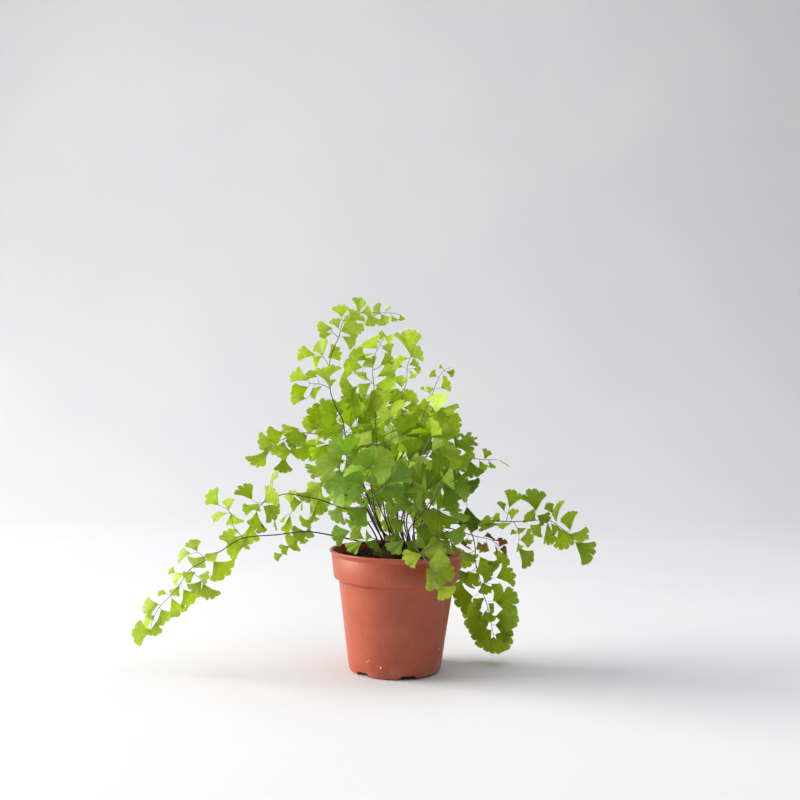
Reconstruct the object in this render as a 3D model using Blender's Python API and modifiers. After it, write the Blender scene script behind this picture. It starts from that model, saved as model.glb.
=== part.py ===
"""A maidenhair fern in a small plastic nursery pot.

Run it in Blender 4.5, with blender --background --python part.py or from the text editor.
The pot stands on z = 0 with its axis on Z, and its front faces -Y. Blender's units are metres.
The plant is set out in millimetres, because its fronds were measured in the front view.
"""

import collections
import math

import bmesh
import bpy
import numpy as np
from mathutils import Matrix, Vector

MM = 0.001

# Pot, in metres
POT_HEIGHT = 0.0925
LIP_RADIUS = 0.0525
LIP_DEPTH = 0.0018
BAND_TOP_RADIUS = 0.05125
BAND_FOOT_RADIUS = 0.0488
BAND_FOOT_HEIGHT = 0.0713
SHOULDER_RADIUS = 0.04485
SHOULDER_HEIGHT = 0.0686
FOOT_RADIUS = 0.0356
FOOT_ROUNDING = 0.0015
POT_WALL = 0.0012
FOOT_RING_INNER_RADIUS = 0.0335
FOOT_DISC_RADIUS = 0.014
PLATE_LIFT = 0.003
POT_STEPS = 48
NOTCHES = 6
NOTCH_FIRST_ANGLE = 17
NOTCH_WIDTH = 0.012
NOTCH_HEIGHT = 0.0026
NOTCH_RADIUS = 0.0345
NOTCH_TAPER = 0.25
CUTTER_LENGTH = 0.008
CUTTER_OVERLAP = 0.002
DRAIN_HOLE_RADIUS = 0.004
DRAIN_HOLE_CIRCLE = 0.0245

# Potting soil and the crown that the stems grow from, in metres
SOIL_GAP = 0.0004
SOIL_EDGE_HEIGHT = 0.0862
SOIL_TOP_HEIGHT = 0.0882
SOIL_STEPS = 32
CROWN_RADIUS = 0.0195
CROWN_HEIGHT = 0.0065
TOUCHING_GAP = 0.0003

# Plant, in millimetres
EYE_DISTANCE = 780
EYE_HEIGHT = 201.5
LEAF_HALF_ANGLE = 50
GOLDEN_RATIO = 1.618034
ROLL_SPREAD = 40
LEAN_SPREAD = 36
PINNA_SPACING = 12.5
PINNA_ANGLE = 62
PINNA_RISE = 0.45
PINNA_DROOP = 0.12
LEAFLET_ANGLE = 58
TIP_LEAFLET_ANGLES = (-45, 0, 45)
STEM_FOOT_LIFT = 1.0
STEM_FOOT_SPREAD = 0.12
STEM_FOOT_RISE = 5.0
KNOB_HEIGHT = 0.8
KNOB_TURNS = (0.55, 0.6)
STEM_CLEARANCE = 2.2
LEAF_CLEARANCE = 2.4
SAMPLE_SPACING = 1.1
LEAF_SHRINKS = (1, 0.85, 0.7)
LEAN_TRIES = (0, 14, -14, 28, -28, 42, -42)
TWIST_TRIES = (0, 18, -18, 36, -36)
RIM_CLEARANCE = 1.5
SIDE_CLEARANCE = 1.8
FLOOR_CLEARANCE = 1.2
OPEN_SOIL_RADIUS = 49
OPEN_SOIL_HEIGHT = 91.5
FACING_FRONT = (0, -0.9, 0.44)
FACING_BACK = (0, 0.9, 0.44)

TERRACOTTA = ((0.47, 0.13, 0.075, 1), 0.42)
PEAT = ((0.022, 0.014, 0.009, 1), 0.95)
CROWN_BROWN = ((0.05, 0.028, 0.015, 1), 0.9)
STEM_BLACK = ((0.022, 0.010, 0.012, 1), 0.3)
LEAF_GREEN = ((0.22, 0.42, 0.03, 1), 0.5)
WITHERED_BROWN = ((0.16, 0.08, 0.03, 1), 0.8)

# The solids of a frond, in millimetres. LEAF_OUTLINE is the fan's margin: (share of the half
# angle, share of the size).
STIPE_RADIUS = 0.65
STIPE_STEP = 11
STIPE_END_MARGIN = 4
SHORTEST_STIPE = 8
RACHIS_WIDTH = 1.1
BLADE_THICKNESS = 0.6
NODE_HALF_LENGTH = 0.45
SHORTEST_STALK = 2
TIP_TAPER = 0.7
CROWNING_REACH = 5
CROWNING_ALIGNMENT = 0.35
LEAF_OUTLINE = ((1, 0.85), (0.36, 1), (-0.36, 1), (-1, 0.85))

# One entry for each frond. A spot is (across, up, depth): what a viewer 780 mm in front of the
# pot and 201.5 mm above its foot sees that far across and up at the pot's axis, and how far
# behind the axis it is. root is where the stem leaves the crown, as (x, y). A leaflet is
# (across, up, heading, size, roll): where its stalk ends, the way it points, in degrees
# anticlockwise from the right, its length, and how far it is turned edge-on, 0 if left out.
Frond = collections.namedtuple("Frond", "root stem sides leaflets")
FRONDS = {
    "left_low": Frond(
        root=(-12, -8),
        stem=[
            (-16, 94, -12), (-29, 98, -14), (-49, 102, -15), (-71, 105, -16), (-94, 102, -16),
            (-120, 99, -16), (-135, 90, -18), (-149, 81, -20), (-162, 73, -20), (-168, 63, -20),
            (-176, 53, -21), (-185, 43, -22), (-189, 35, -22), (-191, 27, -22),
        ],
        sides=[
            [(-120, 98, -16), (-124, 103, -18), (-128, 108, -19), (-131, 119, -20), (-139, 124, -21)],
            [(-149, 82, -20), (-155, 87, -18), (-160, 86, -16)],
            [(-162, 73, -20), (-157, 70, -22), (-152, 65, -24)],
        ],
        leaflets=[
            (-140, 124, 129, 13), (-132, 120, 98, 10), (-133, 118, 185, 12), (-130, 118, 275, 12),
            (-130, 93, 105, 12), (-139, 88, 215, 11), (-143, 80, 312, 16), (-156, 88, 118, 10, 35),
            (-161, 86, 180, 12), (-150, 84, 228, 13), (-173, 71, 150, 5), (-167, 70, 205, 11),
            (-157, 72, 215, 10), (-154, 69, 5, 9), (-152, 65, 235, 11), (-151, 63, 303, 14),
            (-166, 58, 300, 15), (-169, 61, 240, 9), (-179, 54, 150, 6), (-175, 51, 290, 15),
            (-185, 46, 190, 13), (-183, 42, 290, 13), (-188, 37, 210, 11), (-187, 32, 275, 10),
            (-191, 26, 192, 13),
        ],
    ),
    "left_mid": Frond(
        root=(-14, -2),
        stem=[
            (-17, 103, -6), (-25, 115, -8), (-37, 122, -8), (-47, 125, -8), (-61, 130, -8),
            (-72, 132, -8), (-84, 134, -8), (-92, 133, -8), (-105, 127, -8), (-110, 120, -8),
            (-114, 110, -9), (-117, 101, -9), (-120, 93, -10),
        ],
        sides=[
            [(-105, 127, -8), (-102, 132, -6), (-99, 138, -5), (-98, 143, -4)],
        ],
        leaflets=[
            (-114, 129, 115, 13), (-104, 127, 50, 13), (-105, 124, 335, 13), (-109, 126, 228, 10),
            (-110, 120, 268, 16, 65), (-114, 110, 265, 16, 50), (-117, 101, 222, 17, 65),
            (-120, 93, 205, 13, 65), (-106, 111, 275, 8), (-100, 138, 95, 11, 50),
            (-98, 144, 65, 8, 65), (-98, 118, 295, 12, 65), (-112, 122, 190, 9),
        ],
    ),
    "left_inner": Frond(
        root=(-11, 5),
        stem=[
            (-16, 109, 0), (-26, 127, 2), (-36, 137, 3), (-45, 143, 4), (-55, 143, 5),
            (-64, 137, 6), (-74, 130, 7), (-81, 123, 8), (-84, 118, 8),
        ],
        sides=[
            [
                (-64, 137, 6), (-62, 130, 4), (-65, 122, 2), (-68, 110, 0), (-76, 100, -2),
                (-84, 93, -3), (-90, 87, -4),
            ],
        ],
        leaflets=[
            (-58, 143, 202, 14), (-67, 137, 225, 12), (-60, 140, 252, 11), (-74, 130, 262, 9, 65),
            (-75, 128, 190, 9), (-83, 125, 110, 11, 65), (-84, 118, 263, 15, 65),
            (-86, 118, 228, 8, 65), (-65, 123, 182, 11), (-66, 119, 262, 13, 45),
            (-68, 113, 200, 9), (-69, 109, 268, 9), (-72, 105, 190, 11), (-74, 101, 285, 6),
            (-77, 99, 200, 11), (-79, 97, 262, 8), (-84, 93, 195, 8), (-89, 87, 205, 7),
            (-62, 130, 335, 9), (-62, 129, 285, 11),
        ],
    ),
    "left_upper": Frond(
        root=(-9, 10),
        stem=[
            (-15, 115, 12), (-27, 142, 15), (-37, 163, 18), (-48, 175, 20), (-60, 180, 21),
            (-74, 182, 22), (-85, 179, 22), (-96, 174, 21), (-102, 168, 20), (-107, 160, 20),
        ],
        sides=[
            [(-74, 182, 22), (-78, 173, 18), (-84, 168, 16), (-90, 164, 15)],
            [(-48, 175, 20), (-57, 172, 14), (-65, 170, 12)],
        ],
        leaflets=[
            (-78, 185, 190, 13, 50), (-90, 182, 200, 13, 65), (-54, 186, 185, 12, 50),
            (-65, 186, 183, 12, 50), (-59, 181, 190, 16), (-72, 180, 198, 16), (-79, 176, 215, 10),
            (-90, 175, 255, 11), (-96, 174, 190, 14), (-103, 168, 240, 16, 45),
            (-84, 167, 182, 16), (-90, 163, 268, 13), (-73, 171, 238, 11), (-65, 172, 218, 12, 50),
            (-58, 173, 238, 17, 65), (-46, 185, 150, 13),
        ],
    ),
    "top_left": Frond(
        root=(-7, -3),
        stem=[
            (-20, 123, 0), (-32, 154, 0), (-41, 177, 0), (-45, 194, 0), (-49, 200, 0),
            (-54, 213, 1), (-55, 219, 2), (-56, 229, 3), (-55, 241, 4), (-52, 250, 5),
            (-49, 257, 6), (-46, 269, 7), (-40, 276, 8), (-32, 277, 8), (-17, 277, 9),
            (-8, 277, 9), (-1, 276, 9),
        ],
        sides=[
            [(-55, 235, 3), (-60, 241, 2), (-66, 243, 0)],
            [(-55, 217, 2), (-61, 220, 0), (-72, 221, -3)],
            [(-49, 257, 6), (-54, 261, 4), (-57, 263, 2)],
        ],
        leaflets=[
            (-47, 273, 92, 10), (-40, 270, 48, 11), (-39, 269, 325, 11), (-54, 264, 168, 11),
            (-55, 260, 192, 9), (-49, 264, 112, 9), (-47, 262, 25, 13), (-46, 258, 328, 11),
            (-34, 277, 75, 11), (-32, 277, 10, 8), (-26, 277, 290, 11), (-17, 276, 130, 8),
            (-16, 276, 302, 9), (-13, 278, 45, 6), (-8, 275, 308, 6), (-1, 276, 285, 5, 45),
            (-61, 242, 105, 12), (-67, 243, 167, 13), (-62, 242, 215, 11), (-57, 241, 35, 12),
            (-58, 223, 95, 16), (-65, 226, 160, 9), (-61, 219, 208, 11), (-72, 223, 155, 14),
            (-72, 218, 198, 14), (-73, 209, 178, 12), (-55, 217, 80, 9), (-50, 204, 190, 12),
            (-48, 196, 186, 15), (-43, 207, 20, 13),
        ],
    ),
    "top_centre": Frond(
        root=(-2, 5),
        stem=[
            (-9, 115, 6), (-14, 146, 8), (-18, 178, 10), (-20, 210, 12), (-21, 223, 13),
            (-22, 232, 14), (-20, 245, 15), (-17, 251, 16), (-15, 255, 16), (-12, 259, 16),
        ],
        sides=[
            [(-21, 221, 13), (-28, 227, 6), (-36, 229, 2)],
            [(-20, 212, 12), (-27, 212, 8), (-34, 212, 5)],
            [(-22, 232, 14), (-16, 235, 18), (-12, 240, 20)],
        ],
        leaflets=[
            (-12, 259, 165, 6), (-17, 254, 150, 5), (-19, 249, 140, 13), (-22, 245, 188, 11),
            (-27, 240, 152, 13), (-30, 234, 172, 14), (-22, 234, 118, 9), (-38, 229, 180, 14),
            (-27, 230, 205, 11), (-23, 222, 215, 11), (-10, 251, 80, 9), (-8, 244, 110, 9),
            (-16, 236, 40, 11), (-18, 227, 28, 15), (-20, 220, 5, 16), (-20, 216, 335, 14),
            (-30, 210, 178, 16), (-34, 215, 160, 13), (-22, 207, 345, 16), (-23, 206, 195, 11),
        ],
    ),
    "top_right": Frond(
        root=(4, 6),
        stem=[
            (0, 115, 10), (1, 147, 15), (2, 174, 21), (2, 197, 27), (1, 213, 32), (4, 220, 35),
            (5, 226, 37), (5, 233, 39), (6, 239, 41), (8, 244, 42),
        ],
        sides=[
            [(2, 195, 27), (-5, 196, 21), (-11, 193, 17)],
        ],
        leaflets=[
            (8, 244, 95, 20), (7, 243, 35, 13), (6, 242, 190, 9), (2, 235, 160, 10),
            (1, 219, 95, 9), (7, 237, 15, 7), (10, 234, 345, 6), (8, 232, 285, 6),
            (3, 208, 45, 11), (3, 203, 5, 10), (1, 201, 215, 9), (-5, 196, 165, 13),
            (-9, 193, 215, 13), (0, 194, 250, 13), (4, 195, 300, 15), (2, 186, 205, 13),
            (6, 184, 330, 12),
        ],
    ),
    "right_tip": Frond(
        root=(8, 10),
        stem=[
            (5, 116, 20), (10, 147, 34), (13, 178, 48), (17, 193, 56), (20, 202, 60),
            (24, 210, 64), (27, 220, 68), (31, 229, 72), (35, 234, 74), (39, 235, 76),
        ],
        sides=[
            [(17, 192, 56), (24, 196, 50), (30, 201, 46)],
            [(5, 116, 20), (-3, 121, 27), (-12, 124, 33), (-20, 123, 37)],
        ],
        leaflets=[
            (28, 228, 145, 6), (36, 232, 345, 6), (33, 235, 165, 3), (32, 219, 35, 9),
            (23, 214, 92, 6), (19, 217, 140, 4, 65), (28, 199, 78, 17, 40), (31, 202, 20, 16),
            (30, 201, 232, 7), (13, 204, 12, 12), (19, 200, 268, 9), (27, 196, 318, 13),
            (36, 193, 350, 6), (22, 185, 60, 11), (15, 184, 160, 9), (-21, 123, 190, 17),
            (-13, 124, 118, 17), (-13, 123, 236, 17), (-4, 121, 262, 15), (-4, 122, 80, 17),
            (8, 124, 330, 16), (9, 131, 25, 16),
        ],
    ),
    "right_upper": Frond(
        root=(9, 2),
        stem=[
            (7, 116, 8), (15, 147, 12), (24, 171, 16), (32, 182, 18), (40, 186, 20), (47, 184, 22),
            (55, 179, 24),
        ],
        sides=[],
        leaflets=[
            (41, 187, 8, 6, 50), (41, 185, 300, 14, 50), (47, 183, 325, 8, 65),
            (55, 180, 15, 6, 65), (55, 178, 345, 7, 65), (32, 181, 60, 13), (33, 180, 320, 14),
            (24, 171, 120, 12), (24, 171, 10, 13), (19, 160, 170, 13), (20, 158, 330, 14),
        ],
    ),
    "right_mid": Frond(
        root=(12, -3),
        stem=[
            (13, 116, 2), (23, 135, 6), (31, 153, 9), (38, 163, 12), (46, 166, 14), (56, 165, 16),
            (65, 164, 18), (73, 164, 20), (77, 164, 20),
        ],
        sides=[],
        leaflets=[
            (35, 157, 20, 14), (46, 165, 345, 9), (56, 164, 65, 7), (63, 163, 300, 11),
            (67, 164, 72, 8), (70, 163, 310, 8, 45), (77, 164, 338, 10, 45), (29, 150, 150, 14),
            (31, 149, 325, 13), (23, 135, 165, 14),
        ],
    ),
    "right_dark": Frond(
        root=(14, 3),
        stem=[
            (18, 112, 2), (28, 132, -2), (38, 147, -4), (46, 156, -4), (53, 153, -3),
            (54, 145, -2), (53, 136, -1), (54, 127, 0),
        ],
        sides=[
            [(38, 147, -4), (42, 140, -10), (45, 130, -14), (45, 123, -16)],
        ],
        leaflets=[
            (56, 162, 285, 12), (47, 155, 262, 20), (54, 147, 325, 9), (52, 141, 290, 13),
            (46, 132, 215, 11), (42, 122, 318, 9), (54, 127, 278, 18), (36, 144, 310, 13),
            (38, 147, 200, 13),
        ],
    ),
    "right_arch": Frond(
        root=(16, -9),
        stem=[
            (21, 106, -8), (33, 112, -6), (49, 114, -4), (64, 114, -2), (74, 116, 0), (85, 116, 0),
            (92, 116, 0), (105, 117, 0), (117, 118, -2), (126, 113, -4), (134, 107, -6),
            (140, 100, -8),
        ],
        sides=[
            [(85, 116, 0), (86, 122, 2), (87, 127, 4)],
            [(91, 116, 0), (94, 110, -3), (95, 102, -5), (94, 95, -6)],
            [(105, 117, 0), (107, 121, 1), (108, 125, 2)],
        ],
        leaflets=[
            (87, 127, 70, 13), (83, 124, 105, 8), (89, 117, 85, 9), (80, 116, 135, 7),
            (108, 125, 95, 16), (109, 121, 335, 10), (108, 117, 150, 12), (112, 115, 235, 10),
            (121, 123, 118, 9, 50), (124, 116, 98, 16, 35), (135, 110, 103, 14),
            (117, 116, 278, 17, 35), (120, 115, 310, 8), (126, 112, 297, 17), (134, 107, 348, 15),
            (139, 101, 322, 17), (95, 95, 312, 16), (94, 111, 318, 9), (96, 102, 5, 10),
            (94, 99, 300, 6), (79, 114, 192, 16, 50), (89, 115, 205, 11, 50), (88, 106, 35, 5, 65),
            (63, 114, 20, 11, 50),
        ],
    ),
    "right_hanging": Frond(
        root=(15, -3),
        stem=[
            (22, 110, 4), (37, 118, 10), (50, 116, 16), (58, 106, 20), (61, 95, 22), (61, 85, 22),
            (64, 75, 22), (67, 62, 22), (71, 51, 22), (74, 39, 22), (76, 30, 21), (77, 26, 20),
        ],
        sides=[
            [(59, 93, 22), (52, 88, 30), (48, 84, 34)],
        ],
        leaflets=[
            (64, 75, 215, 10), (66, 75, 345, 9), (67, 68, 300, 10), (74, 67, 328, 13),
            (78, 72, 20, 14), (79, 83, 55, 10), (65, 88, 300, 13), (71, 84, 318, 9),
            (60, 57, 193, 16), (69, 56, 213, 11), (77, 54, 0, 18), (72, 52, 318, 9),
            (68, 44, 195, 17), (70, 46, 285, 9), (78, 42, 356, 18), (73, 38, 205, 17),
            (78, 35, 350, 16), (75, 31, 217, 16), (78, 28, 325, 15), (77, 26, 266, 17),
            (56, 75, 226, 15, 65), (54, 72, 238, 13, 65), (52, 92, 300, 13), (57, 91, 275, 9),
        ],
    ),
    "withered": Frond(
        root=(17, 3),
        stem=[
            (25, 108, 8), (39, 110, 8), (50, 107, 6), (61, 104, 4), (71, 102, 2), (79, 98, 0),
        ],
        sides=[],
        leaflets=[
            (51, 105, 262, 6, 40), (55, 102, 240, 6, 40), (68, 104, 25, 6, 40),
            (74, 101, 350, 6, 50), (76, 97, 325, 6, 50), (63, 100, 292, 7), (80, 96, 68, 7),
            (80, 94, 5, 6), (70, 99, 300, 7), (45, 107, 285, 8), (57, 106, 60, 7),
            (40, 108, 240, 9),
        ],
    ),
    "front_right": Frond(
        root=(8, -14),
        stem=[
            (8, 103, -30), (13, 96, -42), (18, 90, -50), (24, 83, -57), (28, 75, -61),
            (32, 66, -62),
        ],
        sides=[],
        leaflets=[
            (20, 89, 192, 15), (18, 90, 8, 20), (24, 82, 352, 16), (23, 78, 315, 18),
            (32, 75, 12, 13), (32, 65, 318, 13), (14, 95, 30, 13),
        ],
    ),
    "centre_front": Frond(
        root=(-1, -15),
        stem=[
            (-1, 108, -26), (-1, 119, -32), (1, 127, -36), (3, 133, -38),
        ],
        sides=[
            [(-1, 114, -28), (5, 114, -34), (11, 113, -38), (14, 109, -42)],
            [(1, 127, -36), (8, 126, -40), (14, 122, -43)],
            [(-2, 108, -26), (3, 103, -34), (5, 99, -40)],
        ],
        leaflets=[
            (3, 126, 192, 18), (5, 115, 196, 16), (4, 128, 332, 13), (14, 122, 345, 20),
            (14, 109, 350, 20), (5, 100, 222, 14), (7, 99, 325, 11), (0, 107, 255, 11),
            (3, 132, 120, 14), (5, 132, 50, 14),
        ],
    ),
    "centre_left": Frond(
        root=(-9, -10),
        stem=[
            (-18, 111, -16), (-26, 127, -28), (-33, 141, -38), (-40, 154, -48), (-41, 163, -54),
        ],
        sides=[
            [(-26, 126, -28), (-36, 124, -38), (-44, 125, -44)],
            [(-21, 115, -19), (-28, 112, -30), (-35, 107, -38)],
        ],
        leaflets=[
            (-42, 161, 185, 23), (-41, 152, 203, 20), (-41, 143, 226, 17), (-37, 157, 300, 20),
            (-40, 165, 140, 17), (-37, 132, 10, 16), (-44, 125, 242, 14), (-28, 125, 212, 12),
            (-26, 114, 215, 15), (-37, 106, 198, 14), (-41, 164, 75, 19), (-32, 140, 340, 14),
        ],
    ),
    "centre_low": Frond(
        root=(-4, -11),
        stem=[
            (-13, 99, -22), (-20, 101, -28), (-26, 100, -32),
        ],
        sides=[],
        leaflets=[
            (-27, 99, 218, 14), (-17, 100, 250, 13), (-20, 102, 160, 12), (-26, 100, 150, 11),
        ],
    ),
}

# The fronds of the plant's middle, which hide each other. Their leaflets follow a rule instead
# of a list: (root, stem, bare share of the stem, reach of the lowest side branch, leaflet size).
BUSHY_FRONDS = {
    "centre_mid": ((-3, -6), [(-15, 111, -10), (-22, 146, -12), (-29, 173, -12), (-34, 194, -10),
                              (-37, 205, -8)], 0.1, 23, 16),
    "centre_top": ((1, -8), [(-7, 115, -16), (-10, 150, -25), (-7, 178, -30), (-2, 197, -30)],
                   0.2, 23, 16),
    "centre_right": ((5, -9), [(3, 115, -22), (11, 145, -38), (18, 167, -50), (25, 181, -58)],
                     0.16, 26, 16),
    "right_front": ((9, -8), [(9, 108, -30), (19, 121, -54), (27, 134, -68), (33, 147, -78)],
                    0.16, 24, 16),
    "front_mid": ((-5, -14), [(-7, 109, -34), (-15, 127, -52), (-21, 142, -66), (-27, 154, -78)],
                  0.16, 24, 17),
    "low_right": ((11, -10), [(13, 105, -18), (25, 110, -22), (37, 108, -25), (46, 101, -26)],
                  0.2, 20, 14),
    "back_left": ((-6, 13), [(-18, 115, 30), (-34, 150, 50), (-42, 177, 68), (-47, 196, 84)],
                  0.08, 28, 16),
    "back_centre": ((0, 15), [(-7, 115, 32), (-10, 154, 54), (-14, 185, 76), (-16, 207, 96)],
                    0.06, 19, 16),
    "back_right": ((7, 14), [(3, 115, 34), (15, 151, 58), (26, 174, 82), (33, 190, 104)],
                   0.08, 28, 16),
    "middle": ((0, 2), [(-2, 112, 6), (2, 138, 10), (8, 160, 12), (14, 178, 12)],
               0.06, 26, 16),
}


def seen(across, up, depth):
    """The point behind a spot of the front view, at this depth behind the pot's axis."""
    spread = 1 + depth / EYE_DISTANCE
    return np.array([across * spread, depth, EYE_HEIGHT + (up - EYE_HEIGHT) * spread])


def unit(vector):
    return vector / max(np.linalg.norm(vector), 1e-9)


def smooth_path(points, steps):
    """A Catmull-Rom curve through the points, with this many steps between each two."""
    ends = [2 * points[0] - points[1], *points, 2 * points[-1] - points[-2]]
    curve = []
    for before, start, end, after in zip(ends, ends[1:], ends[2:], ends[3:]):
        for t in np.arange(steps) / steps:
            bend = (2 * before - 5 * start + 4 * end - after) * t
            twist = (3 * start - before - 3 * end + after) * t * t
            curve.append(start + 0.5 * t * (end - before + bend + twist))
    return np.array(curve + [points[-1]])


def crown_surface(x, y):
    """Height of the knobbly crown above (x, y), all in mm."""
    out = min((x * x + y * y) / (CROWN_RADIUS / MM) ** 2, 1)
    knobs = KNOB_HEIGHT * math.sin(KNOB_TURNS[0] * x + 1) * math.cos(KNOB_TURNS[1] * y) * (1 - out)
    base = (SOIL_TOP_HEIGHT + TOUCHING_GAP) / MM
    return base + CROWN_HEIGHT / MM * math.sqrt(1 - out) + knobs


class Branch:
    """A rachis or a side branch: its curve, and what leaves it and where."""

    def __init__(self, points):
        self.points = points
        steps = np.linalg.norm(np.diff(points, axis=0), axis=1)
        self.along = np.concatenate([[0], np.cumsum(steps)])
        self.length = self.along[-1]
        self.joins = []

    def at(self, s):
        return np.array([np.interp(s, self.along, self.points[:, k]) for k in range(3)])

    def tangent(self, s):
        ahead = self.at(min(s + 1, self.length))
        return unit(ahead - self.at(max(s - 1, 0)))

    def nearest(self, point):
        gaps = np.linalg.norm(self.points - point, axis=1)
        best = int(gaps.argmin())
        return self.along[best], gaps[best]


def bushy_frond(root, stem, bare, reach, size):
    """A frond set out by rule: side branches turn by turn left and right, shorter to the tip."""
    path = Branch(smooth_path([np.array(spot, float) for spot in stem], 6))
    sides = []
    leaflets = []
    for count, share in enumerate(np.arange(bare, 0.95, PINNA_SPACING / path.length)):
        turn = 1 if count % 2 else -1
        here = path.at(share * path.length)
        ahead = path.tangent(share * path.length)
        heading = math.degrees(math.atan2(ahead[1], ahead[0])) + PINNA_ANGLE * turn
        length = reach * (1.15 - share) ** 0.6
        angle = math.radians(heading)
        out = np.array([math.cos(angle), math.sin(angle), PINNA_RISE * turn])
        tip = here + length * out + np.array([0, -PINNA_DROOP * length, 0])
        middle = here + 0.5 * length * out
        sides.append([tuple(here), tuple(middle), tuple(tip)])
        leaflets.append((*middle[:2], heading + LEAFLET_ANGLE, 0.9 * size))
        leaflets.append((*middle[:2], heading - LEAFLET_ANGLE, size))
        leaflets.append((*tip[:2], heading, size))
    top = path.at(path.length)
    ahead = path.tangent(path.length)
    heading = math.degrees(math.atan2(ahead[1], ahead[0]))
    for turn in TIP_LEAFLET_ANGLES:
        leaflets.append((*top[:2], heading + turn, 0.9 * size))
    return Frond(root, stem, sides, leaflets)


Leaf = collections.namedtuple("Leaf", "branch join base heading normal size half_angle")


def frond_branches(frond):
    """The stem, from the crown to the frond's tip, and the side branches with their joins."""
    x, y = frond.root
    foot = np.array([x, y, crown_surface(x, y) + STEM_FOOT_LIFT])
    rise = foot + np.array([STEM_FOOT_SPREAD * x, STEM_FOOT_SPREAD * y, STEM_FOOT_RISE])
    stem = [foot, rise] + [seen(*spot) for spot in frond.stem]
    branches = [Branch(smooth_path(stem, 5))]
    for side in frond.sides:
        points = [seen(*spot) for spot in side]
        parent = min(branches, key=lambda branch: branch.nearest(points[0])[1])
        join = parent.nearest(points[0])[0]
        points[0] = parent.at(join)
        branch = Branch(smooth_path(points, 4))
        parent.joins.append((join, branch))
        branches.append(branch)
    return branches


def upper_side(base, listed):
    """The way a leaflet's upper side turns: to the light above and in front, or outwards."""
    if not listed:
        return unit(np.array([0.7 * base[0], base[1], 0]) / 60 + np.array([0, 0, 0.9]))
    return np.array(FACING_FRONT if base[2] < EYE_HEIGHT else FACING_BACK)


def leaf_facing(heading, guide, roll, lean):
    """The direction that a leaflet points and its upper side's normal."""
    turn = math.radians(heading)
    back = math.radians(lean)
    flat = np.array([math.cos(turn), 0, math.sin(turn)])
    forward = math.cos(back) * flat + math.sin(back) * np.array([0, 1, 0])
    normal = unit(guide - (guide @ forward) * forward)
    across = np.cross(normal, forward)
    angle = math.radians(roll)
    return forward, math.cos(angle) * normal + math.sin(angle) * across


def leaf_samples(leaf, clear_of_base):
    """Points about SAMPLE_SPACING apart all over the leaflet's fan."""
    across = np.cross(leaf.normal, leaf.heading)
    found = []
    for radius in np.arange(clear_of_base, leaf.size + 0.5, SAMPLE_SPACING):
        half = math.radians(leaf.half_angle)
        count = max(int(2 * half * radius / SAMPLE_SPACING) + 1, 2)
        angles = np.linspace(-half, half, count)[:, None]
        found.append(leaf.base + radius * (np.cos(angles) * leaf.heading + np.sin(angles) * across))
    return np.concatenate(found)


class Room:
    """A grid of 1 mm cells: the number of the frond that took each, SHARED if several did."""

    LOW = np.array([-230, -130, -10])
    SHAPE = (440, 280, 330)
    SHARED = 255

    def __init__(self):
        self.owner = np.zeros(self.SHAPE, np.uint8)

    def cells(self, points):
        return np.clip((points - self.LOW).round().astype(int), 0, np.array(self.SHAPE) - 1)

    def take(self, points, clearance, frond):
        reach = int(clearance) + 1
        ball = np.stack(np.meshgrid(*[np.arange(-reach, reach + 1)] * 3), -1).reshape(-1, 3)
        ball = ball[np.linalg.norm(ball, axis=1) <= clearance]
        cells = (self.cells(points)[:, None] + ball[None]).reshape(-1, 3)
        cells = tuple(np.clip(cells, 0, np.array(self.SHAPE) - 1).T)
        before = self.owner[cells]
        self.owner[cells] = np.where((before == 0) | (before == frond), frond, self.SHARED)

    def is_free(self, points, frond=0):
        """Whether nothing took these cells, or only this frond did."""
        owners = self.owner[tuple(self.cells(points).T)]
        return bool(((owners == 0) | (owners == frond)).all())


def pot_radius(z):
    """The pot's outer radius at height z, in mm, a little generous."""
    heights = np.array([0, SHOULDER_HEIGHT, BAND_FOOT_HEIGHT, POT_HEIGHT]) / MM
    radii = np.array([FOOT_RADIUS, SHOULDER_RADIUS, BAND_FOOT_RADIUS, LIP_RADIUS]) / MM
    return np.interp(z, heights, radii)


def clear_of_pot(points):
    """Whether every point is outside the pot, off the soil and above the floor."""
    radius = np.linalg.norm(points[:, :2], axis=1)
    z = points[:, 2]
    rim = POT_HEIGHT / MM + RIM_CLEARANCE
    beside = radius > pot_radius(z) + SIDE_CLEARANCE
    above_soil = (radius < OPEN_SOIL_RADIUS) & (z > OPEN_SOIL_HEIGHT)
    return bool(((beside | above_soil | (z > rim)) & (z > FLOOR_CLEARANCE)).all())


def attach_leaf(branches, row):
    """The branch and the place on it that a leaflet's stalk leaves, and where the stalk ends."""
    across, up = row[:2]
    best = None
    for branch in branches:
        flat = branch.points.copy()
        depth = flat[:, 1]
        spread = 1 + depth / EYE_DISTANCE
        flat = np.stack([flat[:, 0] / spread, EYE_HEIGHT + (flat[:, 2] - EYE_HEIGHT) / spread])
        gaps = np.hypot(flat[0] - across, flat[1] - up)
        place = int(gaps.argmin())
        if best is None or gaps[place] < best[0] - 0.3:
            best = (gaps[place], branch, place)
    gap, branch, place = best
    base = seen(across, up, branch.points[place][1])
    join = max(branch.along[place] - 0.6 * gap, 0.8)
    return branch, join, base


def stalk_samples(leaf):
    """Points along the stalk and over the narrow foot of the fan."""
    stalk = np.linspace(leaf.branch.at(leaf.join), leaf.base, 8)
    return np.concatenate([stalk, leaf_samples(leaf, 0.5)])


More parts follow.
